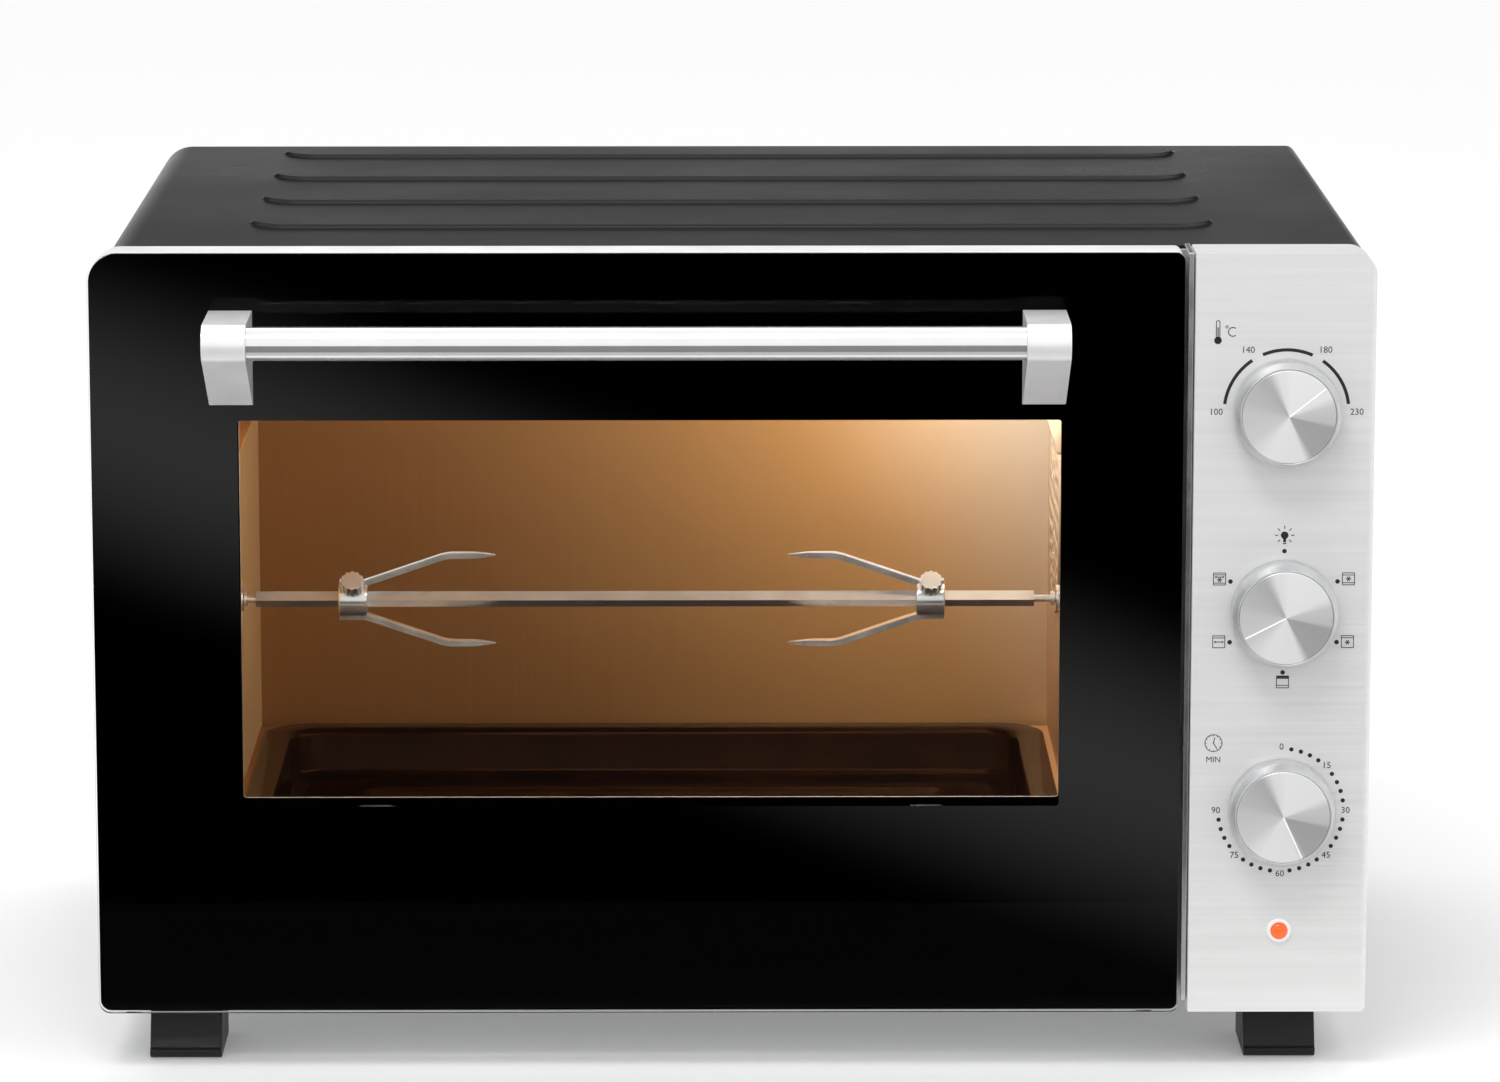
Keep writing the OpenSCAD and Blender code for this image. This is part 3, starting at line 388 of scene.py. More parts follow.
def brushed(name, light, dark, rough, metallic):
    """Sheet metal with long brushing lines along X."""
    material, tree, shader = blank(name)
    surface = use_group(tree, brush_group)
    lines = contrast(tree, surface.outputs["Lines"], 0.3, 0.7)
    bands = contrast(tree, surface.outputs["Bands"], 0.25, 0.75)
    tone = math_node(tree, "MULTIPLY", math_node(tree, "ADD", lines, bands), 0.5)
    tree.links.new(mix_colour(tree, tone, dark, light), shader.inputs["Base Color"])
    tree.links.new(span(tree, lines, *rough), shader.inputs["Roughness"])
    shader.inputs["Metallic"].default_value = metallic
    add_bump(tree, shader, surface.outputs["Lines"], 0.15, 0.00002)
    return material


# Bright and dull sectors round a knob's cap: a painted sheen standing for the spun metal's reflections.
CAP_PAINTED_SHEEN = (  # (part of a turn, tone of the painted sheen)
    (0.0, 0.60), (0.08, 0.50), (0.16, 0.44), (0.215, 0.80), (0.27, 0.86), (0.42, 0.84), (0.47, 0.60),
    (0.52, 0.55), (0.545, 0.36), (0.66, 0.38), (0.70, 0.82), (0.82, 0.84), (0.93, 0.64), (1.0, 0.60),
)


def spun_metal_painted_sheen(name, centre):
    """A spun disc facing -Y: a painted sheen of bright and dull sectors round its centre, and fine turning
    rings.
    """
    material, tree, shader = blank(name)
    point = object_point(tree, centre=centre, turn=(math.radians(90), 0, 0))
    sweep = tree.nodes.new("ShaderNodeTexGradient")
    sweep.gradient_type = "RADIAL"
    tree.links.new(point, sweep.inputs["Vector"])
    # the sector tones by angle: painted sheen
    ramp = tree.nodes.new("ShaderNodeValToRGB")
    ramp.color_ramp.interpolation = "EASE"
    elements = ramp.color_ramp.elements
    while len(elements) < len(CAP_PAINTED_SHEEN):
        elements.new(0.5)
    for element, (place, tone) in zip(elements, CAP_PAINTED_SHEEN):
        element.position = place
        element.color = (tone, tone, tone * 1.01, 1)
    tree.links.new(sweep.outputs["Fac"], ramp.inputs["Fac"])
    length = tree.nodes.new("ShaderNodeVectorMath")
    length.operation = "LENGTH"
    tree.links.new(point, length.inputs[0])
    rings = tree.nodes.new("ShaderNodeTexNoise")
    rings.noise_dimensions = "1D"
    rings.inputs["Scale"].default_value = 5200
    tree.links.new(length.outputs["Value"], rings.inputs["W"])
    shade = span(tree, rings.outputs["Fac"], 0.0, 0.16)
    tree.links.new(mix_colour(tree, shade, ramp.outputs["Color"], (0.5, 0.5, 0.5)),
                   shader.inputs["Base Color"])
    tree.links.new(span(tree, rings.outputs["Fac"], 0.30, 0.42), shader.inputs["Roughness"])
    shader.inputs["Metallic"].default_value = 0.35
    add_bump(tree, shader, rings.outputs["Fac"], 0.1, 0.00002)
    return material


def clear_glass(name, tint, index, specular):
    """Float glass with faint wiping marks in its roughness."""
    material, tree, shader = blank(name)
    shader.inputs["Base Color"].default_value = (*tint, 1)
    shader.inputs["Transmission Weight"].default_value = 1.0
    shader.inputs["IOR"].default_value = index
    shader.inputs["Specular IOR Level"].default_value = specular
    marks = use_group(tree, grain_group, Grain_Scale=40.0, Patch_Scale=9.0)
    wiped = contrast(tree, marks.outputs["Patches"], 0.5, 0.9)
    tree.links.new(span(tree, wiped, 0.0, 0.02), shader.inputs["Roughness"])
    return material


def glowing(name, colour, glow, strength, rough=0.2):
    """A lit lens or bulb."""
    material, tree, shader = blank(name)
    surface = use_group(tree, grain_group, Grain_Scale=600.0, Patch_Scale=300.0)
    tree.links.new(mix_colour(tree, surface.outputs["Patches"], colour, glow), shader.inputs["Base Color"])
    shader.inputs["Emission Color"].default_value = (*glow, 1)
    shader.inputs["Emission Strength"].default_value = strength
    shader.inputs["Roughness"].default_value = rough
    return material


# Painted lamp light on the chamber: lit gold towards the lamp and a pale painted glow nearest it.
LIT_GOLD, PAINTED_GLOW_GOLD = (0.74, 0.40, 0.155), (0.85, 0.79, 0.71)
WORN_GOLD, GRAIN_GOLD = (0.42, 0.24, 0.10), (0.85, 0.62, 0.36)


def gold_sheet(name, shade):
    """Satin gold sheet with painted lamp light: browner (painted shade) away from the lamp, lit gold and a
    pale painted glow towards it, with upright rolling grain and a haze from use.
    """
    material, tree, shader = blank(name)
    grain = noise(tree, object_point(tree, (700, 700, 8)), 1.0, 2.0)
    haze = noise(tree, object_point(tree, (1, 1, 1.6)), 7.0, 5.0, 0.62)
    # painted light: a place counts as nearer the lamp the further right and the higher it is
    split = tree.nodes.new("ShaderNodeSeparateXYZ")
    tree.links.new(object_point(tree), split.inputs[0])
    upward = math_node(tree, "MULTIPLY", split.outputs["Z"], 0.6)
    toward_lamp = math_node(tree, "ADD", split.outputs["X"], upward)
    lit = contrast(tree, toward_lamp, chamber_low.x + 0.16, chamber_high.x + 0.10)
    # painted shade away from the lamp, lit gold towards it
    gold = mix_colour(tree, lit, shade, LIT_GOLD)
    # a pale painted glow nearest the lamp
    painted_glow = contrast(tree, toward_lamp, chamber_high.x, chamber_high.x + 0.19)
    base = mix_colour(tree, painted_glow, gold, PAINTED_GLOW_GOLD)
    worn = mix_colour(tree, span(tree, haze, 0.0, 0.3), base, WORN_GOLD)
    grained_gold = mix_colour(tree, span(tree, grain, 0.0, 0.06), worn, GRAIN_GOLD)
    tree.links.new(grained_gold, shader.inputs["Base Color"])
    tree.links.new(span(tree, haze, 0.34, 0.5), shader.inputs["Roughness"])
    shader.inputs["Metallic"].default_value = 0.55
    add_bump(tree, shader, grain, 0.05, 0.00003)
    return material


def painted_sheen_print(name):
    """The black print behind the front glass, with a painted sheen: a broad faint band crossing the pane,
    drawn as a faint glow and a lighter black.
    """
    half_band, lean, waver = 0.086, math.radians(-19), 0.02
    material, tree, shader = blank(name)
    cloud = noise(tree, object_point(tree), 3.0, 2.0)
    across = object_point(tree, centre=(0, 0, middle("door_outer_glass").z), turn=(0, lean, 0))
    split = tree.nodes.new("ShaderNodeSeparateXYZ")
    tree.links.new(across, split.inputs[0])
    wavy = math_node(tree, "ADD", split.outputs["Z"], span(tree, cloud, -waver, waver))
    away = math_node(tree, "ABSOLUTE", wavy)
    # the band where the painted sheen crosses the pane
    painted_sheen_band = contrast(tree, math_node(tree, "SUBTRACT", half_band, away), 0.0, half_band)
    # the print's black, a little lighter inside the band: painted sheen
    black = mix_colour(tree, painted_sheen_band, (0.0012, 0.0012, 0.0013), (0.004, 0.004, 0.004))
    tree.links.new(black, shader.inputs["Base Color"])
    # the painted sheen itself: a faint glow inside the band
    sheen = mix_colour(tree, painted_sheen_band, (0.0, 0.0, 0.0), (0.027, 0.027, 0.0275))
    tree.links.new(sheen, shader.inputs["Emission Color"])
    shader.inputs["Emission Strength"].default_value = 1.0
    shader.inputs["Roughness"].default_value = 0.6
    shader.inputs["Specular IOR Level"].default_value = 0.02
    return material


def galvanised_sheet():
    """Zinc-coated steel with its crystal flower pattern."""
    material, tree, shader = blank("galvanised")
    crystals = tree.nodes.new("ShaderNodeTexVoronoi")
    crystals.inputs["Scale"].default_value = 210
    tree.links.new(object_point(tree), crystals.inputs["Vector"])
    split = tree.nodes.new("ShaderNodeSeparateColor")
    tree.links.new(crystals.outputs["Color"], split.inputs[0])
    tone = mix_colour(tree, split.outputs[0], (0.53, 0.54, 0.55), (0.60, 0.61, 0.62))
    tree.links.new(tone, shader.inputs["Base Color"])
    tree.links.new(span(tree, split.outputs[1], 0.36, 0.46), shader.inputs["Roughness"])
    shader.inputs["Metallic"].default_value = 0.85
    return material


# --- materials by the record's slots ---------------------------------------------------------------


def make_finishes():
    """One material for each finish of the oven, by the name of its slot."""
    return {
        "cover_black": grained("cover_paint", (0.011, 0.011, 0.0115), (0.008, 0.008, 0.0085), (0.27, 0.33),
                               grain=1500, patch=6, bump=0.3, specular=0.13),
        "rear_black": grained("rear_paint", (0.026, 0.026, 0.027), (0.02, 0.02, 0.021), (0.5, 0.62),
                              grain=1200),
        "galvanised": galvanised_sheet(),
        "zinc": grained("zinc_plating", (0.66, 0.67, 0.68), (0.56, 0.57, 0.58), (0.25, 0.4),
                        metallic=0.9, grain=1500, patch=200),
        "black_plastic": grained("black_moulding", (0.010, 0.010, 0.010), (0.007, 0.007, 0.007),
                                 (0.4, 0.52), grain=1800, patch=60, bump=0.4, specular=0.3),
        "fascia_steel": brushed("fascia_steel", (0.80, 0.80, 0.795), (0.72, 0.72, 0.715),
                                (0.34, 0.48), 0.35),
        "trim": grained("polished_trim", (0.70, 0.71, 0.72), (0.62, 0.63, 0.64), (0.1, 0.2),
                        metallic=0.9, grain=800, patch=40, bump=0.05),
        # the chamber's gold, with painted shade away from the lamp and painted light near it
        "chamber": gold_sheet("chamber_gold_painted_light", (0.31, 0.125, 0.036)),
        "heater_tube": grained("heater_sheath", (0.09, 0.075, 0.065), (0.04, 0.036, 0.034), (0.4, 0.6),
                               metallic=0.6, grain=700, patch=60),
        "ceramic": grained("ceramic", (0.82, 0.80, 0.74), (0.70, 0.67, 0.60), (0.5, 0.7),
                           grain=900, patch=90),
        "bulb": glowing("lamp_bulb", (1.0, 0.82, 0.55), (1.0, 0.70, 0.36), strength=6.0),
        "lamp_glass": glowing("lamp_lens", (0.95, 0.86, 0.66), (1.0, 0.72, 0.40), strength=1.2),
        "motor_copper": grained("motor_winding", (0.42, 0.22, 0.09), (0.26, 0.13, 0.06), (0.3, 0.5),
                                metallic=0.6, grain=1600, patch=300),
        "fan_aluminium": grained("fan_aluminium", (0.72, 0.73, 0.74), (0.60, 0.61, 0.62), (0.3, 0.45),
                                 metallic=0.9, grain=700, patch=50),
        "gear_motor": brushed("gear_motor_can", (0.58, 0.59, 0.60), (0.48, 0.49, 0.50), (0.3, 0.5), 0.85),
        "thermostat_body": brushed("thermostat_can", (0.62, 0.60, 0.55), (0.50, 0.48, 0.44),
                                   (0.35, 0.5), 0.8),
        "switch_body": grained("switch_moulding", (0.76, 0.73, 0.62), (0.68, 0.65, 0.55), (0.4, 0.55)),
        "timer_body": brushed("timer_case", (0.60, 0.52, 0.34), (0.48, 0.41, 0.26), (0.3, 0.45), 0.85),
        "knob_silver": grained("knob_silver", (0.62, 0.63, 0.64), (0.52, 0.53, 0.54), (0.28, 0.36),
                               metallic=0.55, grain=2200, patch=90, bump=0.1),
        "shaft_steel": grained("shaft_steel", (0.58, 0.59, 0.60), (0.48, 0.49, 0.50), (0.25, 0.4),
                               metallic=0.9),
        "bezel": grained("bezel_white", (0.82, 0.82, 0.82), (0.78, 0.78, 0.78), (0.15, 0.25),
                         grain=500, bump=0.02),
        "lens_red": glowing("indicator_lens", (0.75, 0.05, 0.01), (1.0, 0.10, 0.012),
                            strength=0.75, rough=0.08),
        "spit_chrome": grained("spit_chrome", (0.90, 0.90, 0.92), (0.82, 0.82, 0.84), (0.14, 0.24),
                               metallic=0.75, grain=500, patch=60, bump=0.04),
        "enamel": grained("tray_enamel", (0.014, 0.005, 0.003), (0.006, 0.003, 0.002), (0.14, 0.22),
                          grain=250, patch=30, bump=0.1, depth=0.00005, specular=0.16,
                          tint=(0.90, 0.38, 0.20)),
        "door_silver": grained("door_silver", (0.83, 0.84, 0.85), (0.77, 0.78, 0.79), (0.3, 0.42),
                               metallic=0.12, grain=1800, patch=20, bump=0.15),
        "front_glass": clear_glass("front_glass", (0.97, 0.98, 0.98), index=1.13, specular=0.3),
        "inner_glass": clear_glass("inner_glass", (0.96, 0.985, 0.98), index=1.3, specular=0.12),
        # the black print on the front glass, with its painted sheen
        "glass_print": painted_sheen_print("black_print_painted_sheen"),
        "handle_polish": grained("handle_polish", (0.88, 0.88, 0.89), (0.84, 0.84, 0.85), (0.08, 0.14),
                                 metallic=0.78, grain=700, patch=30, bump=0.02),
        "bracket_satin": grained("bracket_satin", (0.80, 0.80, 0.81), (0.76, 0.76, 0.77), (0.28, 0.34),
                                 metallic=0.3, grain=2600, patch=60, bump=0.1),
    }


finishes = make_finishes()
slot_of_node = {row["node"]: row["material_slot"] for row in frame["record"]["subparts"]}
# the knob caps take the spun metal with its painted sheen of bright and dull sectors
node_finishes = {f"{name}_knob_cap": spun_metal_painted_sheen(f"{name}_cap_spun_painted_sheen", knob_centres[name]) for name in KNOBS}
# the left wall takes a lighter copy of the gold: painted lamp light on the wall that faces the lamp
node_finishes["chamber_left_wall"] = gold_sheet("side_gold_painted_light", (0.92, 0.68, 0.38))
dial_print = grained("dial_print", (0.012, 0.012, 0.013), (0.009, 0.009, 0.010), (0.45, 0.6), bump=0.02)
pointer_white = grained("pointer_white", (0.93, 0.93, 0.93), (0.88, 0.88, 0.88), (0.3, 0.4), bump=0.02)


def finish_of(node):
    """The material that a CAD node takes."""
    return node_finishes.get(node) or finishes[slot_of_node[node]]


def paint_frame():
    """Gives each CAD node its material."""
    for name, node in nodes.items():
        node.data.materials.clear()
        node.data.materials.append(finish_of(name))


# --- mesh helpers ----------------------------------------------------------------------------------


def piece_from(name, mesh, material, body, stands_for=()):
    """Puts a finished mesh into the scene as a piece that rides on a body."""
    mesh.materials.clear()
    mesh.materials.append(material)
    piece = bpy.data.objects.new(name, mesh)
    scene.collection.objects.link(piece)
    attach(piece, body)
    if stands_for:
        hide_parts(*stands_for)
    return piece


def mesh_from(name, verts, faces):
    """A mesh of the given corners and faces."""
    mesh = bpy.data.meshes.new(name)
    mesh.from_pydata(verts, [], faces)
    return mesh


def tidy_mesh(mesh, merge=1e-7):
    """Merges doubles and turns the faces outwards."""
    work = bmesh.new()
    work.from_mesh(mesh)
    bmesh.ops.remove_doubles(work, verts=work.verts, dist=merge)
    bmesh.ops.recalc_face_normals(work, faces=work.faces)
    work.to_mesh(mesh)
    work.free()


def smooth(mesh, angle):
    """Shades a mesh smooth, apart from the edges sharper than the angle."""
    mesh.shade_smooth()
    mesh.set_sharp_from_angle(angle=math.radians(angle))


def applied(mesh, name, *steps):
    """The mesh with modifiers applied. Each step is (type, {property: value})."""
    holder = bpy.data.objects.new("holder", mesh)
    scene.collection.objects.link(holder)
    for kind, values in steps:
        modifier = holder.modifiers.new(kind.lower(), kind)
        for key, value in values.items():
            setattr(modifier, key, value)
    ready = holder.evaluated_get(bpy.context.evaluated_depsgraph_get())
    result = bpy.data.meshes.new_from_object(ready)
    result.name = name
    bpy.data.objects.remove(holder)
    return result


def bevel_step(width, segments, angle):
    """A modifier step that rounds off the edges sharper than the angle."""
    return ("BEVEL", {"width": width, "segments": segments, "limit_method": "ANGLE",
                      "angle_limit": math.radians(angle), "use_clamp_overlap": True,
                      "miter_outer": "MITER_ARC"})


def finished(mesh, name, width, segments, angle, smooth_angle):
    """Bevels a mesh and shades it smooth, with its flat faces kept flat."""
    mesh = applied(mesh, name, bevel_step(width, segments, angle))
    smooth(mesh, smooth_angle)
    return applied(mesh, name, ("WEIGHTED_NORMAL", {"keep_sharp": True, "weight": 100}))


def eased(node, width, segments, angle):
    """A copy of a CAD node with its edges rounded off, standing for the node."""
    mesh = nodes[node].data.copy()
    work = bmesh.new()
    work.from_mesh(mesh)
    bmesh.ops.remove_doubles(work, verts=work.verts, dist=1e-6)
    bmesh.ops.dissolve_limit(work, angle_limit=math.radians(0.8), verts=work.verts, edges=work.edges)
    work.to_mesh(mesh)
    work.free()
    mesh = finished(mesh, f"eased_{node}", width, segments, angle, smooth_angle=40)
    return piece_from(f"eased_{node}", mesh, finish_of(node), nodes[node]["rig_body"],
                      (node,))


def ring_faces(rings, count):
    """Quads that join each ring of count corners to the next one."""
    faces = []
    for ring in range(rings - 1):
        here, there = ring * count, (ring + 1) * count
        for step in range(count):
            after = (step + 1) % count
            faces.append((here + step, here + after, there + after, there + step))
    return faces


def lathe(profile, centre, axis, steps):
    """Turns (radius, distance) points round an axis, where the distance runs along the axis vector."""
    axis = Vector(axis).normalized()
    side = axis.orthogonal().normalized()
    other = axis.cross(side)
    verts = []
    for radius, along in profile:
        for step in range(steps):
            turn = 2 * math.pi * step / steps
            outward = side * math.cos(turn) + other * math.sin(turn)
            verts.append(Vector(centre) + axis * along + outward * radius)
    mesh = mesh_from("lathe", verts, ring_faces(len(profile), steps))
    tidy_mesh(mesh, 1e-6)
    return mesh


def arc_points(centre, radius, start, end, count):
    """Points of an arc as (u, v), with angles in degrees."""
    return [
        (centre[0] + radius * math.cos(math.radians(start + (end - start) * i / count)),
         centre[1] + radius * math.sin(math.radians(start + (end - start) * i / count)))
        for i in range(count + 1)
    ]


def loft(name, loops):
    """A closed skin through loops of equal length, its first and last loop capped."""
    count = len(loops[0])
    verts = [point for loop in loops for point in loop]
    caps = [tuple(range(count)), tuple(range(len(verts) - count, len(verts)))]
    mesh = mesh_from(name, verts, caps + ring_faces(len(loops), count))
    tidy_mesh(mesh)
    return mesh


def joined(name, meshes):
    """One mesh out of several."""
    work = bmesh.new()
    for mesh in meshes:
        work.from_mesh(mesh)
        bpy.data.meshes.remove(mesh)
    result = bpy.data.meshes.new(name)
    work.to_mesh(result)
    work.free()
    return result


def placed(mesh, matrix):
    """The mesh, moved by a matrix."""
    mesh.transform(matrix)
    return mesh


# --- rounded copies of the CAD nodes ---------------------------------------------------------------

EDGES = (  # (node, bevel in millimetres, segments, angle past which an edge is rounded)
    ("outer_cover", 0.5, 3, 20), ("control_fascia", 0.5, 3, 50), ("door_side_trim", 0.5, 3, 30),
    ("feet", 1.4, 3, 30), ("wall_spacers", 1.0, 3, 30), ("door_frame", 0.35, 2, 50),
    ("door_outer_glass", 0.6, 3, 50), ("handle_brackets", 1.3, 4, 40), ("handle_bar", 0.2, 2, 50),
    ("front_frame", 0.3, 2, 50), ("drive_socket", 0.5, 2, 50), ("spit_support", 0.5, 2, 50),
    ("spit_rod", 0.35, 2, 50), ("cord_gland", 0.8, 3, 50), ("spit_motor", 0.6, 2, 50),
    ("thermostat", 0.5, 2, 50), ("timer_unit", 1.0, 2, 50), ("rack_guides", 0.3, 2, 50),
    ("heaters", 0.3, 2, 50), ("left_thumbscrew", 0.25, 2, 40), ("right_thumbscrew", 0.25, 2, 40),
)


def ease_edges():
    """Rounds off the nodes whose edges show."""
    for node, width, segments, angle in EDGES:
        eased(node, width * MM, segments, angle)


# --- knobs -----------------------------------------------------------------------------------------

FORWARD = (0, -1, 0)


def make_knob(name):
    """The turned knob body with its bevelled shoulder, and the spun cap let into its front."""
    body = f"{name}_control"
    low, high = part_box(f"{name}_knob")
    cap_low, cap_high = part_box(f"{name}_knob_cap")
    base_r = (high.x - low.x) / 2 / MM
    cap_r = (cap_high.x - cap_low.x) / 2 / MM
    depth = (high.y - low.y) / MM
    seat = (cap_high.y - cap_low.y) / MM
    centre = ((low.x + high.x) / 2, high.y, (low.z + high.z) / 2)
    profile = [(0, 0), (base_r - 1.4, 0), (base_r - 0.4, 0.3), (base_r, 1.1), (base_r - 0.1, depth - 5.2),
               (base_r - 0.35, depth - 4.2), (base_r - 1.0, depth - 3.2), (cap_r + 1.1, depth - 0.6),
               (cap_r + 0.75, depth - 0.1), (cap_r + 0.4, depth), (cap_r + 0.12, depth - 0.15),
               (cap_r + 0.02, depth - 0.5), (cap_r + 0.02, depth - seat), (0, depth - seat)]
    mesh = lathe([(r * MM, y * MM) for r, y in profile], centre, FORWARD, 128)
    smooth(mesh, 28)
    piece_from(f"turned_{name}_knob", mesh, finishes["knob_silver"], body, (f"{name}_knob",))
    profile = [(0, depth - seat), (cap_r - 0.08, depth - seat), (cap_r - 0.08, depth - 0.3),
               (cap_r - 0.4, depth - 0.02), (cap_r - 1.0, depth), (0, depth - 0.02)]
    mesh = lathe([(r * MM, y * MM) for r, y in profile], centre, FORWARD, 128)
    smooth(mesh, 28)
    cap = f"{name}_knob_cap"
    piece_from(f"spun_{name}_cap", mesh, finish_of(cap), body, (cap,))
    return Vector((centre[0], cap_low.y, centre[2])), cap_r * MM


def make_pointer(name, face, radius, clockwise):
    """A thin white ridge from the cap's centre to its rim."""
    half, proud, sunk, inset = 0.8 * MM / 2, 0.18 * MM, 0.1 * MM, 0.15 * MM
    end = radius - 0.4 * MM
    foot = [(-half, 0), (half, 0), (half, end), (-half, end)]
    top = [(-half + inset, inset), (half - inset, inset),
           (half - inset, end - inset), (-half + inset, end - inset)]
    loops = [[Vector((u, y, v)) for u, v in outline] for outline, y in ((foot, sunk), (top, -proud))]
    mesh = loft("pointer", loops)
    placed(mesh, Matrix.Translation(face) @ Matrix.Rotation(math.radians(clockwise), 4, "Y"))
    piece_from(f"{name}_pointer", mesh, pointer_white, f"{name}_control")


POINTER_ANGLES = {"temperature": 52.0, "function": 243.0, "timer": 155.6}  # clockwise from the top


def make_knobs():
    """The three knobs, each with its pointer where it stands at rest."""
    for name in KNOBS:
        face, radius = make_knob(name)
        make_pointer(name, face, radius, POINTER_ANGLES[name])


# --- prints on the fascia --------------------------------------------------------------------------
# Measures on the dials are millimetres, and most of them count from the knob's axis.

PRINT_THICK = 0.1 * MM
PRINT_SUNK = 0.04 * MM


def printed(polygon):
    """A flat polygon of (x, z) points in millimetres, as a thin plate just proud of the fascia."""
    rear, front = fascia_y + PRINT_SUNK, fascia_y + PRINT_SUNK - PRINT_THICK
    loops = [[Vector((x * MM, y, z * MM)) for x, z in polygon] for y in (rear, front)]
    return loft("print", loops)


def stroke(start, end, width):
    """A straight line of the given width, as a polygon."""
    along = Vector((end[0] - start[0], end[1] - start[1])).normalized() * width / 2
    across = Vector((-along.y, along.x))
    a, b = Vector(start), Vector(end)
    return [tuple(a + across), tuple(a - across), tuple(b - across), tuple(b + across)]


def ring_sector(centre, radius, width, start, end, steps=24):
    """Part of a ring, as a polygon."""
    return (arc_points(centre, radius + width / 2, start, end, steps)
            + arc_points(centre, radius - width / 2, end, start, steps))


def disc(centre, radius):
    """A round spot, as a polygon."""
    return arc_points(centre, radius, 0, 360, 20)[:-1]


def full_ring(centre, radius, width):
    """A whole ring, as two polygons."""
    return [ring_sector(centre, radius, width, 0, 180), ring_sector(centre, radius, width, 180, 360)]


def figures(text, centre, height):
    """Numerals as a thin plate mesh: centred on (x, z) and height millimetres high."""
    curve = bpy.data.curves.new("figures", "FONT")
    curve.body = text
    curve.resolution_u = 3
    holder = bpy.data.objects.new("figures", curve)
    scene.collection.objects.link(holder)
    mesh = bpy.data.meshes.new_from_object(holder.evaluated_get(bpy.context.evaluated_depsgraph_get()))
    bpy.data.objects.remove(holder)
    work = bmesh.new()
    work.from_mesh(mesh)
    bmesh.ops.remove_doubles(work, verts=work.verts, dist=1e-5)
    upper = bmesh.ops.extrude_face_region(work, geom=work.faces[:])["geom"]
    bmesh.ops.translate(work, vec=(0, 0, 1), verts=[v for v in upper if isinstance(v, bmesh.types.BMVert)])
    bmesh.ops.recalc_face_normals(work, faces=work.faces)
    xs, ys = [v.co.x for v in work.verts], [v.co.y for v in work.verts]
    size = height * MM / (max(ys) - min(ys))
    mid_x, mid_y = (max(xs) + min(xs)) / 2, (max(ys) + min(ys)) / 2
    for vert in work.verts:
        x, y, thick = vert.co
        vert.co = (centre[0] * MM + (x - mid_x) * size, fascia_y + PRINT_SUNK - thick * PRINT_THICK,
                   centre[1] * MM + (y - mid_y) * size)
    bmesh.ops.recalc_face_normals(work, faces=work.faces)
    work.to_mesh(mesh)
    work.free()
    return mesh


def clockwise_point(centre, radius, degrees):
    """The point at a clock angle from the top."""
    turn = math.radians(degrees)
    return centre[0] + radius * math.sin(turn), centre[1] + radius * math.cos(turn)


def build_dots_group():
    """Geometry Nodes: a thin round dot at every point of the given mesh."""
    group = bpy.data.node_groups.new("scale_dots", "GeometryNodeTree")
    group.interface.new_socket("Points", in_out="INPUT", socket_type="NodeSocketGeometry")
    for label in ("Radius", "Thickness"):
        group.interface.new_socket(label, in_out="INPUT", socket_type="NodeSocketFloat")
    group.interface.new_socket("Material", in_out="INPUT", socket_type="NodeSocketMaterial")
    group.interface.new_socket("Dots", in_out="OUTPUT", socket_type="NodeSocketGeometry")
    links = group.links
    source, target = group.nodes.new("NodeGroupInput"), group.nodes.new("NodeGroupOutput")
    dot = group.nodes.new("GeometryNodeMeshCylinder")
    dot.inputs["Vertices"].default_value = 20
    links.new(source.outputs["Radius"], dot.inputs["Radius"])
    links.new(source.outputs["Thickness"], dot.inputs["Depth"])
    spread = group.nodes.new("GeometryNodeInstanceOnPoints")
    spread.inputs["Rotation"].default_value = (math.radians(90), 0, 0)
    links.new(source.outputs["Points"], spread.inputs["Points"])
    links.new(dot.outputs["Mesh"], spread.inputs["Instance"])
    solid = group.nodes.new("GeometryNodeRealizeInstances")
    links.new(spread.outputs[0], solid.inputs[0])
    paint = group.nodes.new("GeometryNodeSetMaterial")
    links.new(solid.outputs[0], paint.inputs["Geometry"])
    links.new(source.outputs["Material"], paint.inputs["Material"])
    links.new(paint.outputs[0], target.inputs["Dots"])
    return group


def dots_mesh(name, points, radius, thickness, material):
    """Runs the dots group over (x, y, z) points and gives back the plain mesh."""
    group = bpy.data.node_groups.get("scale_dots") or build_dots_group()
    base = mesh_from(name, points, [])
    holder = bpy.data.objects.new("holder", base)
    scene.collection.objects.link(holder)
    modifier = holder.modifiers.new("dots", "NODES")
    modifier.node_group = group
    keys = {item.name: item.identifier for item in group.interface.items_tree}
    modifier[keys["Radius"]] = radius
    modifier[keys["Thickness"]] = thickness
    modifier[keys["Material"]] = material
    mesh = bpy.data.meshes.new_from_object(holder.evaluated_get(bpy.context.evaluated_depsgraph_get()))
    bpy.data.objects.remove(holder)
    return mesh


def print_dots(centre, radius, angles, dot_r):
    """Round dots on a circle about a dial, at clockwise angles."""
    y = fascia_y + PRINT_SUNK - PRINT_THICK / 2
    points = []
    for angle in angles:
        x, z = clockwise_point(centre, radius, angle)
        points.append((x * MM, y, z * MM))
    return dots_mesh("dots", points, dot_r * MM, PRINT_THICK, dial_print)


def lay_print(name, meshes):
    """Joins printed meshes into one piece on the fascia."""
    piece_from(name, joined(name, meshes), dial_print, "cabinet")


def dial_centre(name):
    """A knob's axis as (x, z) in millimetres."""
    place = knob_centres[name]
    return place.x / MM, place.z / MM


FIGURE_H = 2.9


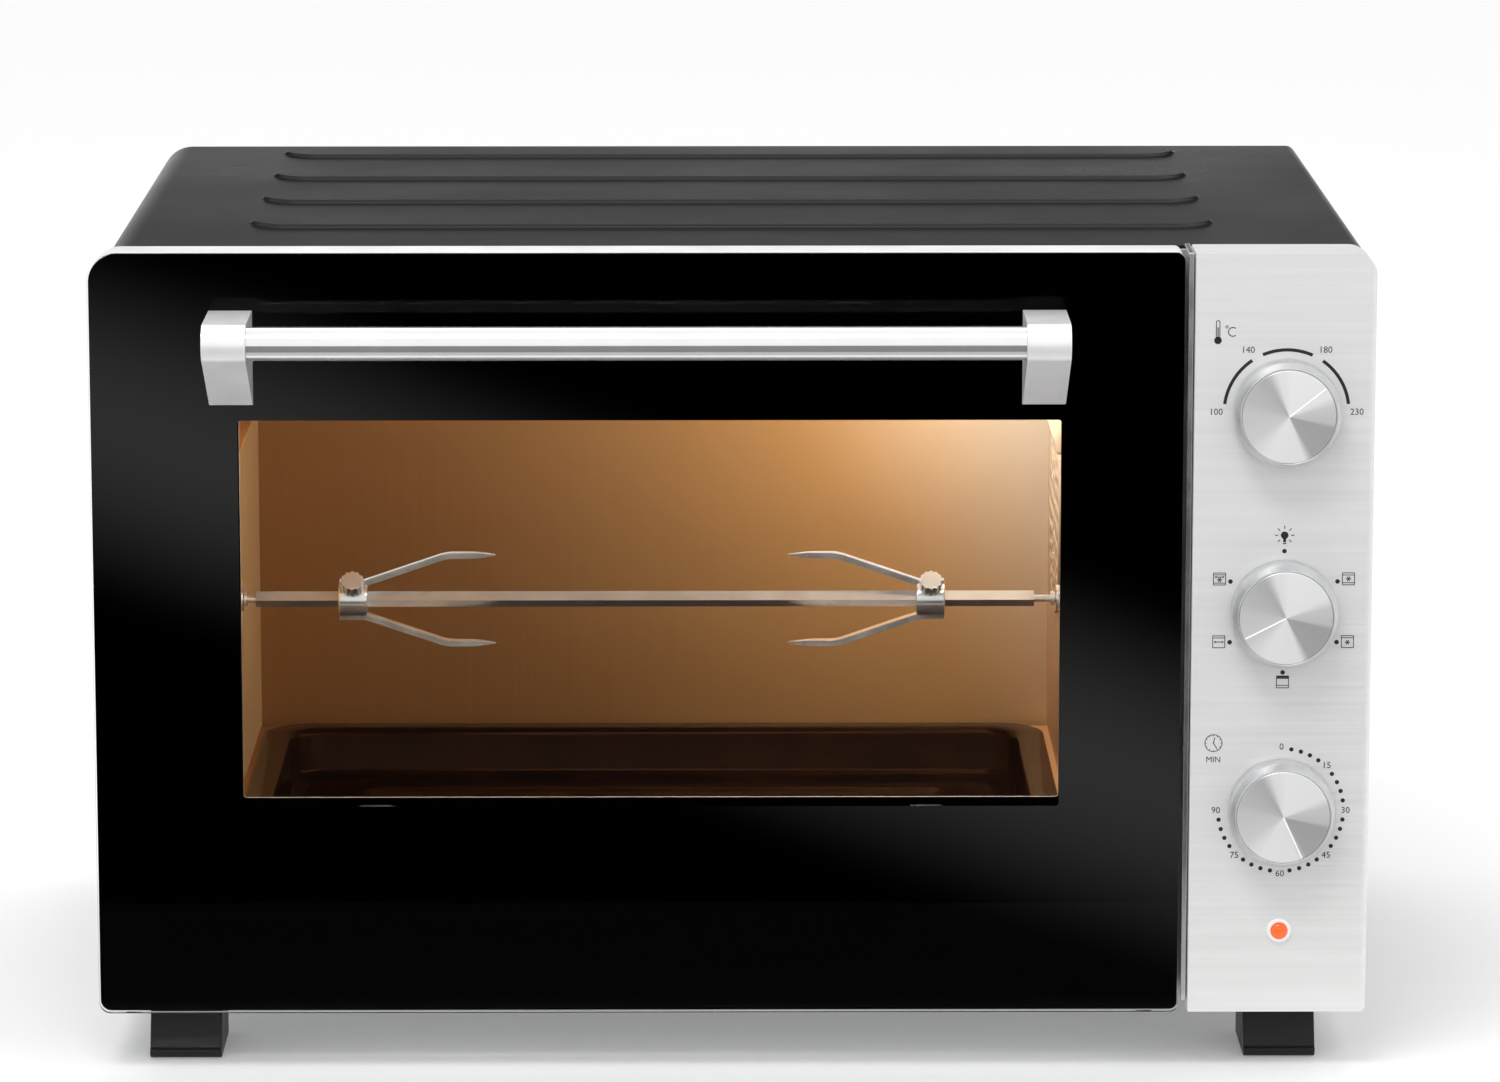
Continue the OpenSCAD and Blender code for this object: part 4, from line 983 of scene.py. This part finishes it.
def print_temperature():
    """Arcs round the knob, four figures, a thermometer and a degree sign."""
    centre = dial_centre("temperature")
    shapes = [ring_sector(centre, 28.1, 1.5, a, b) for a, b in ((7, 55), (66, 113), (124, 173))]
    x, z = centre[0] - 31.3, centre[1] + 35.0
    shapes += [ring_sector((x, z + 5.6), 0.8, 0.4, 0, 180, 10),
               stroke((x - 0.8, z + 5.7), (x - 0.8, z - 1.2), 0.4),
               stroke((x + 0.8, z + 5.7), (x + 0.8, z - 1.2), 0.4),
               stroke((x, z + 3.4), (x, z - 2.0), 0.5),
               disc((x, z - 2.6), 1.7)]
    shapes += full_ring((x + 4.0, z + 3.6), 0.55, 0.3)
    shapes += [ring_sector((x + 6.7, z + 1.3), 2.0, 0.42, 50, 310)]
    places = (("100", -31.4, -0.1), ("140", -17.3, 28.2), ("180", 17.6, 28.2), ("230", 31.8, -0.1))
    meshes = [printed(shape) for shape in shapes]
    meshes += [figures(text, (centre[0] + dx, centre[1] + dz), FIGURE_H) for text, dx, dz in places]
    lay_print("temperature_scale", meshes)


def box_icon(x, z, lines, star=None, arrows=None):
    """A square oven symbol: heater lines at given heights, a fan star, a spit bar with arrow heads."""
    half, fine = 2.75, 0.35
    shapes = [stroke((x - half, z + side * half), (x + half, z + side * half), fine) for side in (-1, 1)]
    shapes += [stroke((x + side * half, z - half), (x + side * half, z + half), fine) for side in (-1, 1)]
    shapes += [stroke((x - half, z + height), (x + half, z + height), fine) for height in lines]
    if star is not None:
        for angle in (0, 60, 120):
            dx, dz = 1.25 * math.cos(math.radians(angle)), 1.25 * math.sin(math.radians(angle))
            shapes.append(stroke((x - dx, z + star - dz), (x + dx, z + star + dz), 0.4))
    if arrows is not None:
        shapes.append(stroke((x - 1.6, z + arrows), (x + 1.6, z + arrows), 0.35))
        for side in (-1, 1):
            tip = x + side * 2.3
            shapes.append([(tip, z + arrows), (tip - side * 0.9, z + arrows + 0.6),
                           (tip - side * 0.9, z + arrows - 0.6)])
    return shapes


def print_function():
    """A lamp over the knob, oven symbols round it, and a dot at every position."""
    centre = dial_centre("function")
    cx, cz = centre
    x, z = cx, cz + 35.3
    foot_z = cz - 32.4
    shapes = [disc((x, z), 1.75), stroke((x, z - 1.2), (x, z - 3.2), 1.3),
              stroke((x - 0.7, z - 3.8), (x + 0.7, z - 3.8), 0.5)]
    for angle in range(0, 360, 45):
        if angle != 180:
            shapes.append(stroke(clockwise_point((x, z), 2.9, angle),
                                 clockwise_point((x, z), 4.4, angle), 0.4))
    shapes += box_icon(cx + 29.2, cz + 15.2, (1.8, -1.8), star=0)
    shapes += box_icon(cx + 29.2, cz - 13.8, (1.8,), star=-0.3)
    shapes += box_icon(cx - 29.2, cz + 15.2, (1.9, -1.9), star=-0.4, arrows=0.9)
    shapes += box_icon(cx - 29.2, cz - 13.8, (1.8,), arrows=-0.1)
    shapes += box_icon(cx, foot_z, (1.6, -1.6))
    shapes += [stroke((cx - 2.7, foot_z + 2.2), (cx + 2.7, foot_z + 2.2), 0.7)]
    lay_print("function_scale", [printed(shape) for shape in shapes]
              + [print_dots(centre, 28.0, range(0, 360, 60), 1.05)])


def print_timer():
    """A figure every quarter of an hour with dots between, a clock, and the word for minutes."""
    centre = dial_centre("timer")
    step, dot_step = 45, 9
    angles = [step * i + dot_step * k for i in range(6) for k in (1, 2, 3, 4)]
    x, z = centre[0] - 31.0, centre[1] + 31.2
    shapes = full_ring((x, z), 3.9, 0.35)
    shapes += [stroke((x + 0.6, z + 2.6), (x - 0.1, z - 0.1), 0.4),
               stroke((x - 0.1, z + 0.1), (x + 1.6, z - 2.6), 0.4)]
    for angle in range(0, 360, 30):
        shapes.append(stroke(clockwise_point((x, z), 3.1, angle),
                             clockwise_point((x, z), 3.7, angle), 0.25))
    meshes = [printed(shape) for shape in shapes] + [print_dots(centre, 28.6, angles, 1.0)]
    for index in range(7):
        place = clockwise_point(centre, 29.6, step * index)
        meshes.append(figures(str(15 * index), place, FIGURE_H))
    meshes.append(figures("MIN", (x, z - 7.6), 2.6))
    lay_print("timer_scale", meshes)


# --- tray ------------------------------------------------------------------------------------------


def rounded_loop(x0, x1, y0, y1, radius, z):
    """Points of a level rounded rectangle."""
    points = []
    for cx, cy, start in ((x1 - radius, y1 - radius, 0), (x0 + radius, y1 - radius, 90),
                          (x0 + radius, y0 + radius, 180), (x1 - radius, y0 + radius, 270)):
        points += [Vector((u, v, z)) for u, v in arc_points((cx, cy), radius, start, start + 90, 8)]
    return points


def make_tray():
    """The enamelled pan, pressed from one sheet: rolled rim, drawn walls, a raised frame on its floor."""
    low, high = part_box("drip_tray")
    deep = (high.z - low.z) / MM
    # (inset from the rim, height over the underside) in millimetres: the outside first, then the inside
    steps = [(60, 0.0), (20, 0.0), (16.0, 1.0), (14.0, 3.6), (13.4, deep - 5), (12.4, deep - 2.4),
             (11.4, deep - 1.4), (1.2, deep - 1.4), (0.2, deep - 1.9), (0.0, deep - 1.2),
             (0.3, deep - 0.4), (1.2, deep), (10.4, deep), (12.2, deep - 0.5), (13.6, deep - 2.0),
             (14.2, deep - 4), (14.8, 4.8), (16.4, 2.2), (19.4, 1.0), (44.0, 1.0), (47.0, 1.5),
             (49.0, 3.0), (53.5, 3.0), (55.5, 1.5), (58.0, 1.0), (80.0, 1.0)]
    loops = []
    for inset, height in steps:
        radius = max(23 - inset / 2, 6) * MM
        pull = inset * MM
        level = low.z + height * MM
        loops.append(rounded_loop(low.x + pull, high.x - pull, low.y + pull, high.y - pull, radius, level))
    mesh = loft("pressed_tray", loops)
    smooth(mesh, 50)
    piece_from("pressed_tray", mesh, finishes["enamel"], "tray", ("drip_tray",))


# --- forks -----------------------------------------------------------------------------------------


def make_fork(side):
    """A fork: clamp hub on the square bar and two pressed channel prongs."""
    node = f"{side}_fork"
    low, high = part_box(node)
    facing = 1 if side == "left" else -1
    hub_w, hub_r = 14.0, 8.5
    length = (high.x - low.x) / MM
    reach = (high.z - low.z) / 2 / MM
    start_x = low.x if side == "left" else high.x
    on_spit = Matrix.Translation((start_x, spit_axis.y, spit_axis.z))
    tip_run, slope_end = 22.0, length - 24.0
    middle_out = reach - 1.2
    path = [(0.4, hub_r - 0.4), (hub_w - 1.5, hub_r - 0.4), (hub_w + 1.5, hub_r + 0.6),
            (slope_end - 2, middle_out - 0.7), (slope_end + 2, middle_out),
            (slope_end + tip_run - 8, middle_out), (slope_end + tip_run + 1.6, middle_out)]
    half_widths = [3.4, 3.4, 3.3, 3.1, 3.0, 2.3, 0.35]
    meshes = []
    for updown in (1, -1):
        loops = []
        for index, ((x, out), half) in enumerate(zip(path, half_widths)):
            before, after = path[max(index - 1, 0)], path[min(index + 1, len(path) - 1)]
            lean = math.atan2(after[1] - before[1], after[0] - before[0])
            normal = Vector((-math.sin(lean), 0, math.cos(lean)))
            thick = 1.35 if index < len(path) - 1 else 0.3
            rib = half - min(1.3, half * 0.42)
            floor = -thick + min(0.9, thick * 0.8)
            section = [(-half, -thick), (half, -thick), (half, thick), (rib, thick),
                       (rib - 0.3 * half / 3, floor), (-rib + 0.3 * half / 3, floor),
                       (-rib, thick), (-half, thick)]
            loop = []
            for across, lift in section:
                point = Vector((x, across, out)) + normal * lift
                loop.append(Vector((point.x, point.y, point.z * updown)))
            loops.append(loop)
        meshes.append(loft("prong", loops))
    hub = [(0, 0), (hub_r - 1.2, 0), (hub_r - 0.4, 0.3), (hub_r, 1.1), (hub_r, hub_w - 1.1),
           (hub_r - 0.4, hub_w - 0.3), (hub_r - 1.2, hub_w), (0, hub_w)]
    meshes.append(lathe(hub, (0, 0, 0), (1, 0, 0), 64))
    mesh = placed(joined(f"channel_{node}", meshes), on_spit @ Matrix.Diagonal((facing * MM, MM, MM, 1)))
    tidy_mesh(mesh, 1e-8)
    mesh = finished(mesh, f"channel_{node}", 0.2 * MM, 2, 40, 35)
    piece_from(f"channel_{node}", mesh, finishes["spit_chrome"], node, (node,))


# --- small parts -----------------------------------------------------------------------------------


def make_indicator():
    """The lit lens inside its glossy ring."""
    bezel_low, bezel_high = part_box("indicator_bezel")
    lens_low, lens_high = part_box("indicator_lens")
    centre = (middle("indicator_lens").x, fascia_y, middle("indicator_lens").z)
    lens_r = (lens_high.x - lens_low.x) / 2 / MM
    ring_r = (bezel_high.x - bezel_low.x) / 2 / MM
    ring = [(lens_r, -7), (lens_r + 0.5, -7), (lens_r + 0.5, -0.1), (ring_r, -0.1), (ring_r, 0.3),
            (ring_r - 0.3, 0.9), (ring_r - 0.8, 1.2), (lens_r + 0.3, 1.15), (lens_r, 0.7), (lens_r, -7)]
    mesh = lathe([(r * MM, y * MM) for r, y in ring], centre, FORWARD, 64)
    smooth(mesh, 40)
    piece_from("glossy_bezel", mesh, finishes["bezel"], "cabinet", ("indicator_bezel",))
    dome = [(0, -19), (lens_r - 0.8, -19), (lens_r - 0.8, -8), (lens_r - 0.02, -8), (lens_r - 0.02, 0.6),
            (lens_r * 0.92, 1.3), (lens_r * 0.7, 2.0), (lens_r * 0.4, 2.4), (0, 2.6)]
    mesh = lathe([(r * MM, y * MM) for r, y in dome], centre, FORWARD, 48)
    smooth(mesh, 40)
    piece_from("lit_lens", mesh, finishes["lens_red"], "cabinet", ("indicator_lens",))


def make_screw_crosses():
    """Dark crosses standing just proud of the rear panel's screw heads: painted shade for their cross
    recesses, dark against the zinc.
    """
    low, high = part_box("rear_panel")
    head_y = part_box("cabinet_screws")[1].y
    depths = (head_y - 0.3 * MM, head_y + 0.05 * MM)
    side_in, foot_in, top_in = 11.7 * MM, 12 * MM, 19.2 * MM
    arm = stroke((-2.1, 0), (2.1, 0), 0.7)
    meshes = []
    for x in (low.x + side_in, 0.0, high.x - side_in):
        for z in (low.z + foot_in, high.z - top_in):
            for turn in (25, 115):
                loops = [[Vector((u * MM, y, v * MM)) for u, v in arm] for y in depths]
                mesh = loft("cross", loops)
                placed(mesh, Matrix.Translation((x, 0, z)) @ Matrix.Rotation(math.radians(turn), 4, "Y"))
                meshes.append(mesh)
    # the crosses take the dark rear paint: painted shade of the recesses
    piece_from("screw_crosses_painted_shade", joined("screw_crosses_painted_shade", meshes), finishes["rear_black"], "cabinet")


paint_frame()
ease_edges()
make_knobs()
make_indicator()
print_temperature()
print_function()
print_timer()
make_tray()
make_fork("left")
make_fork("right")
make_screw_crosses()
make_camera()
make_world()
make_floor()
light_studio()
light_chamber()
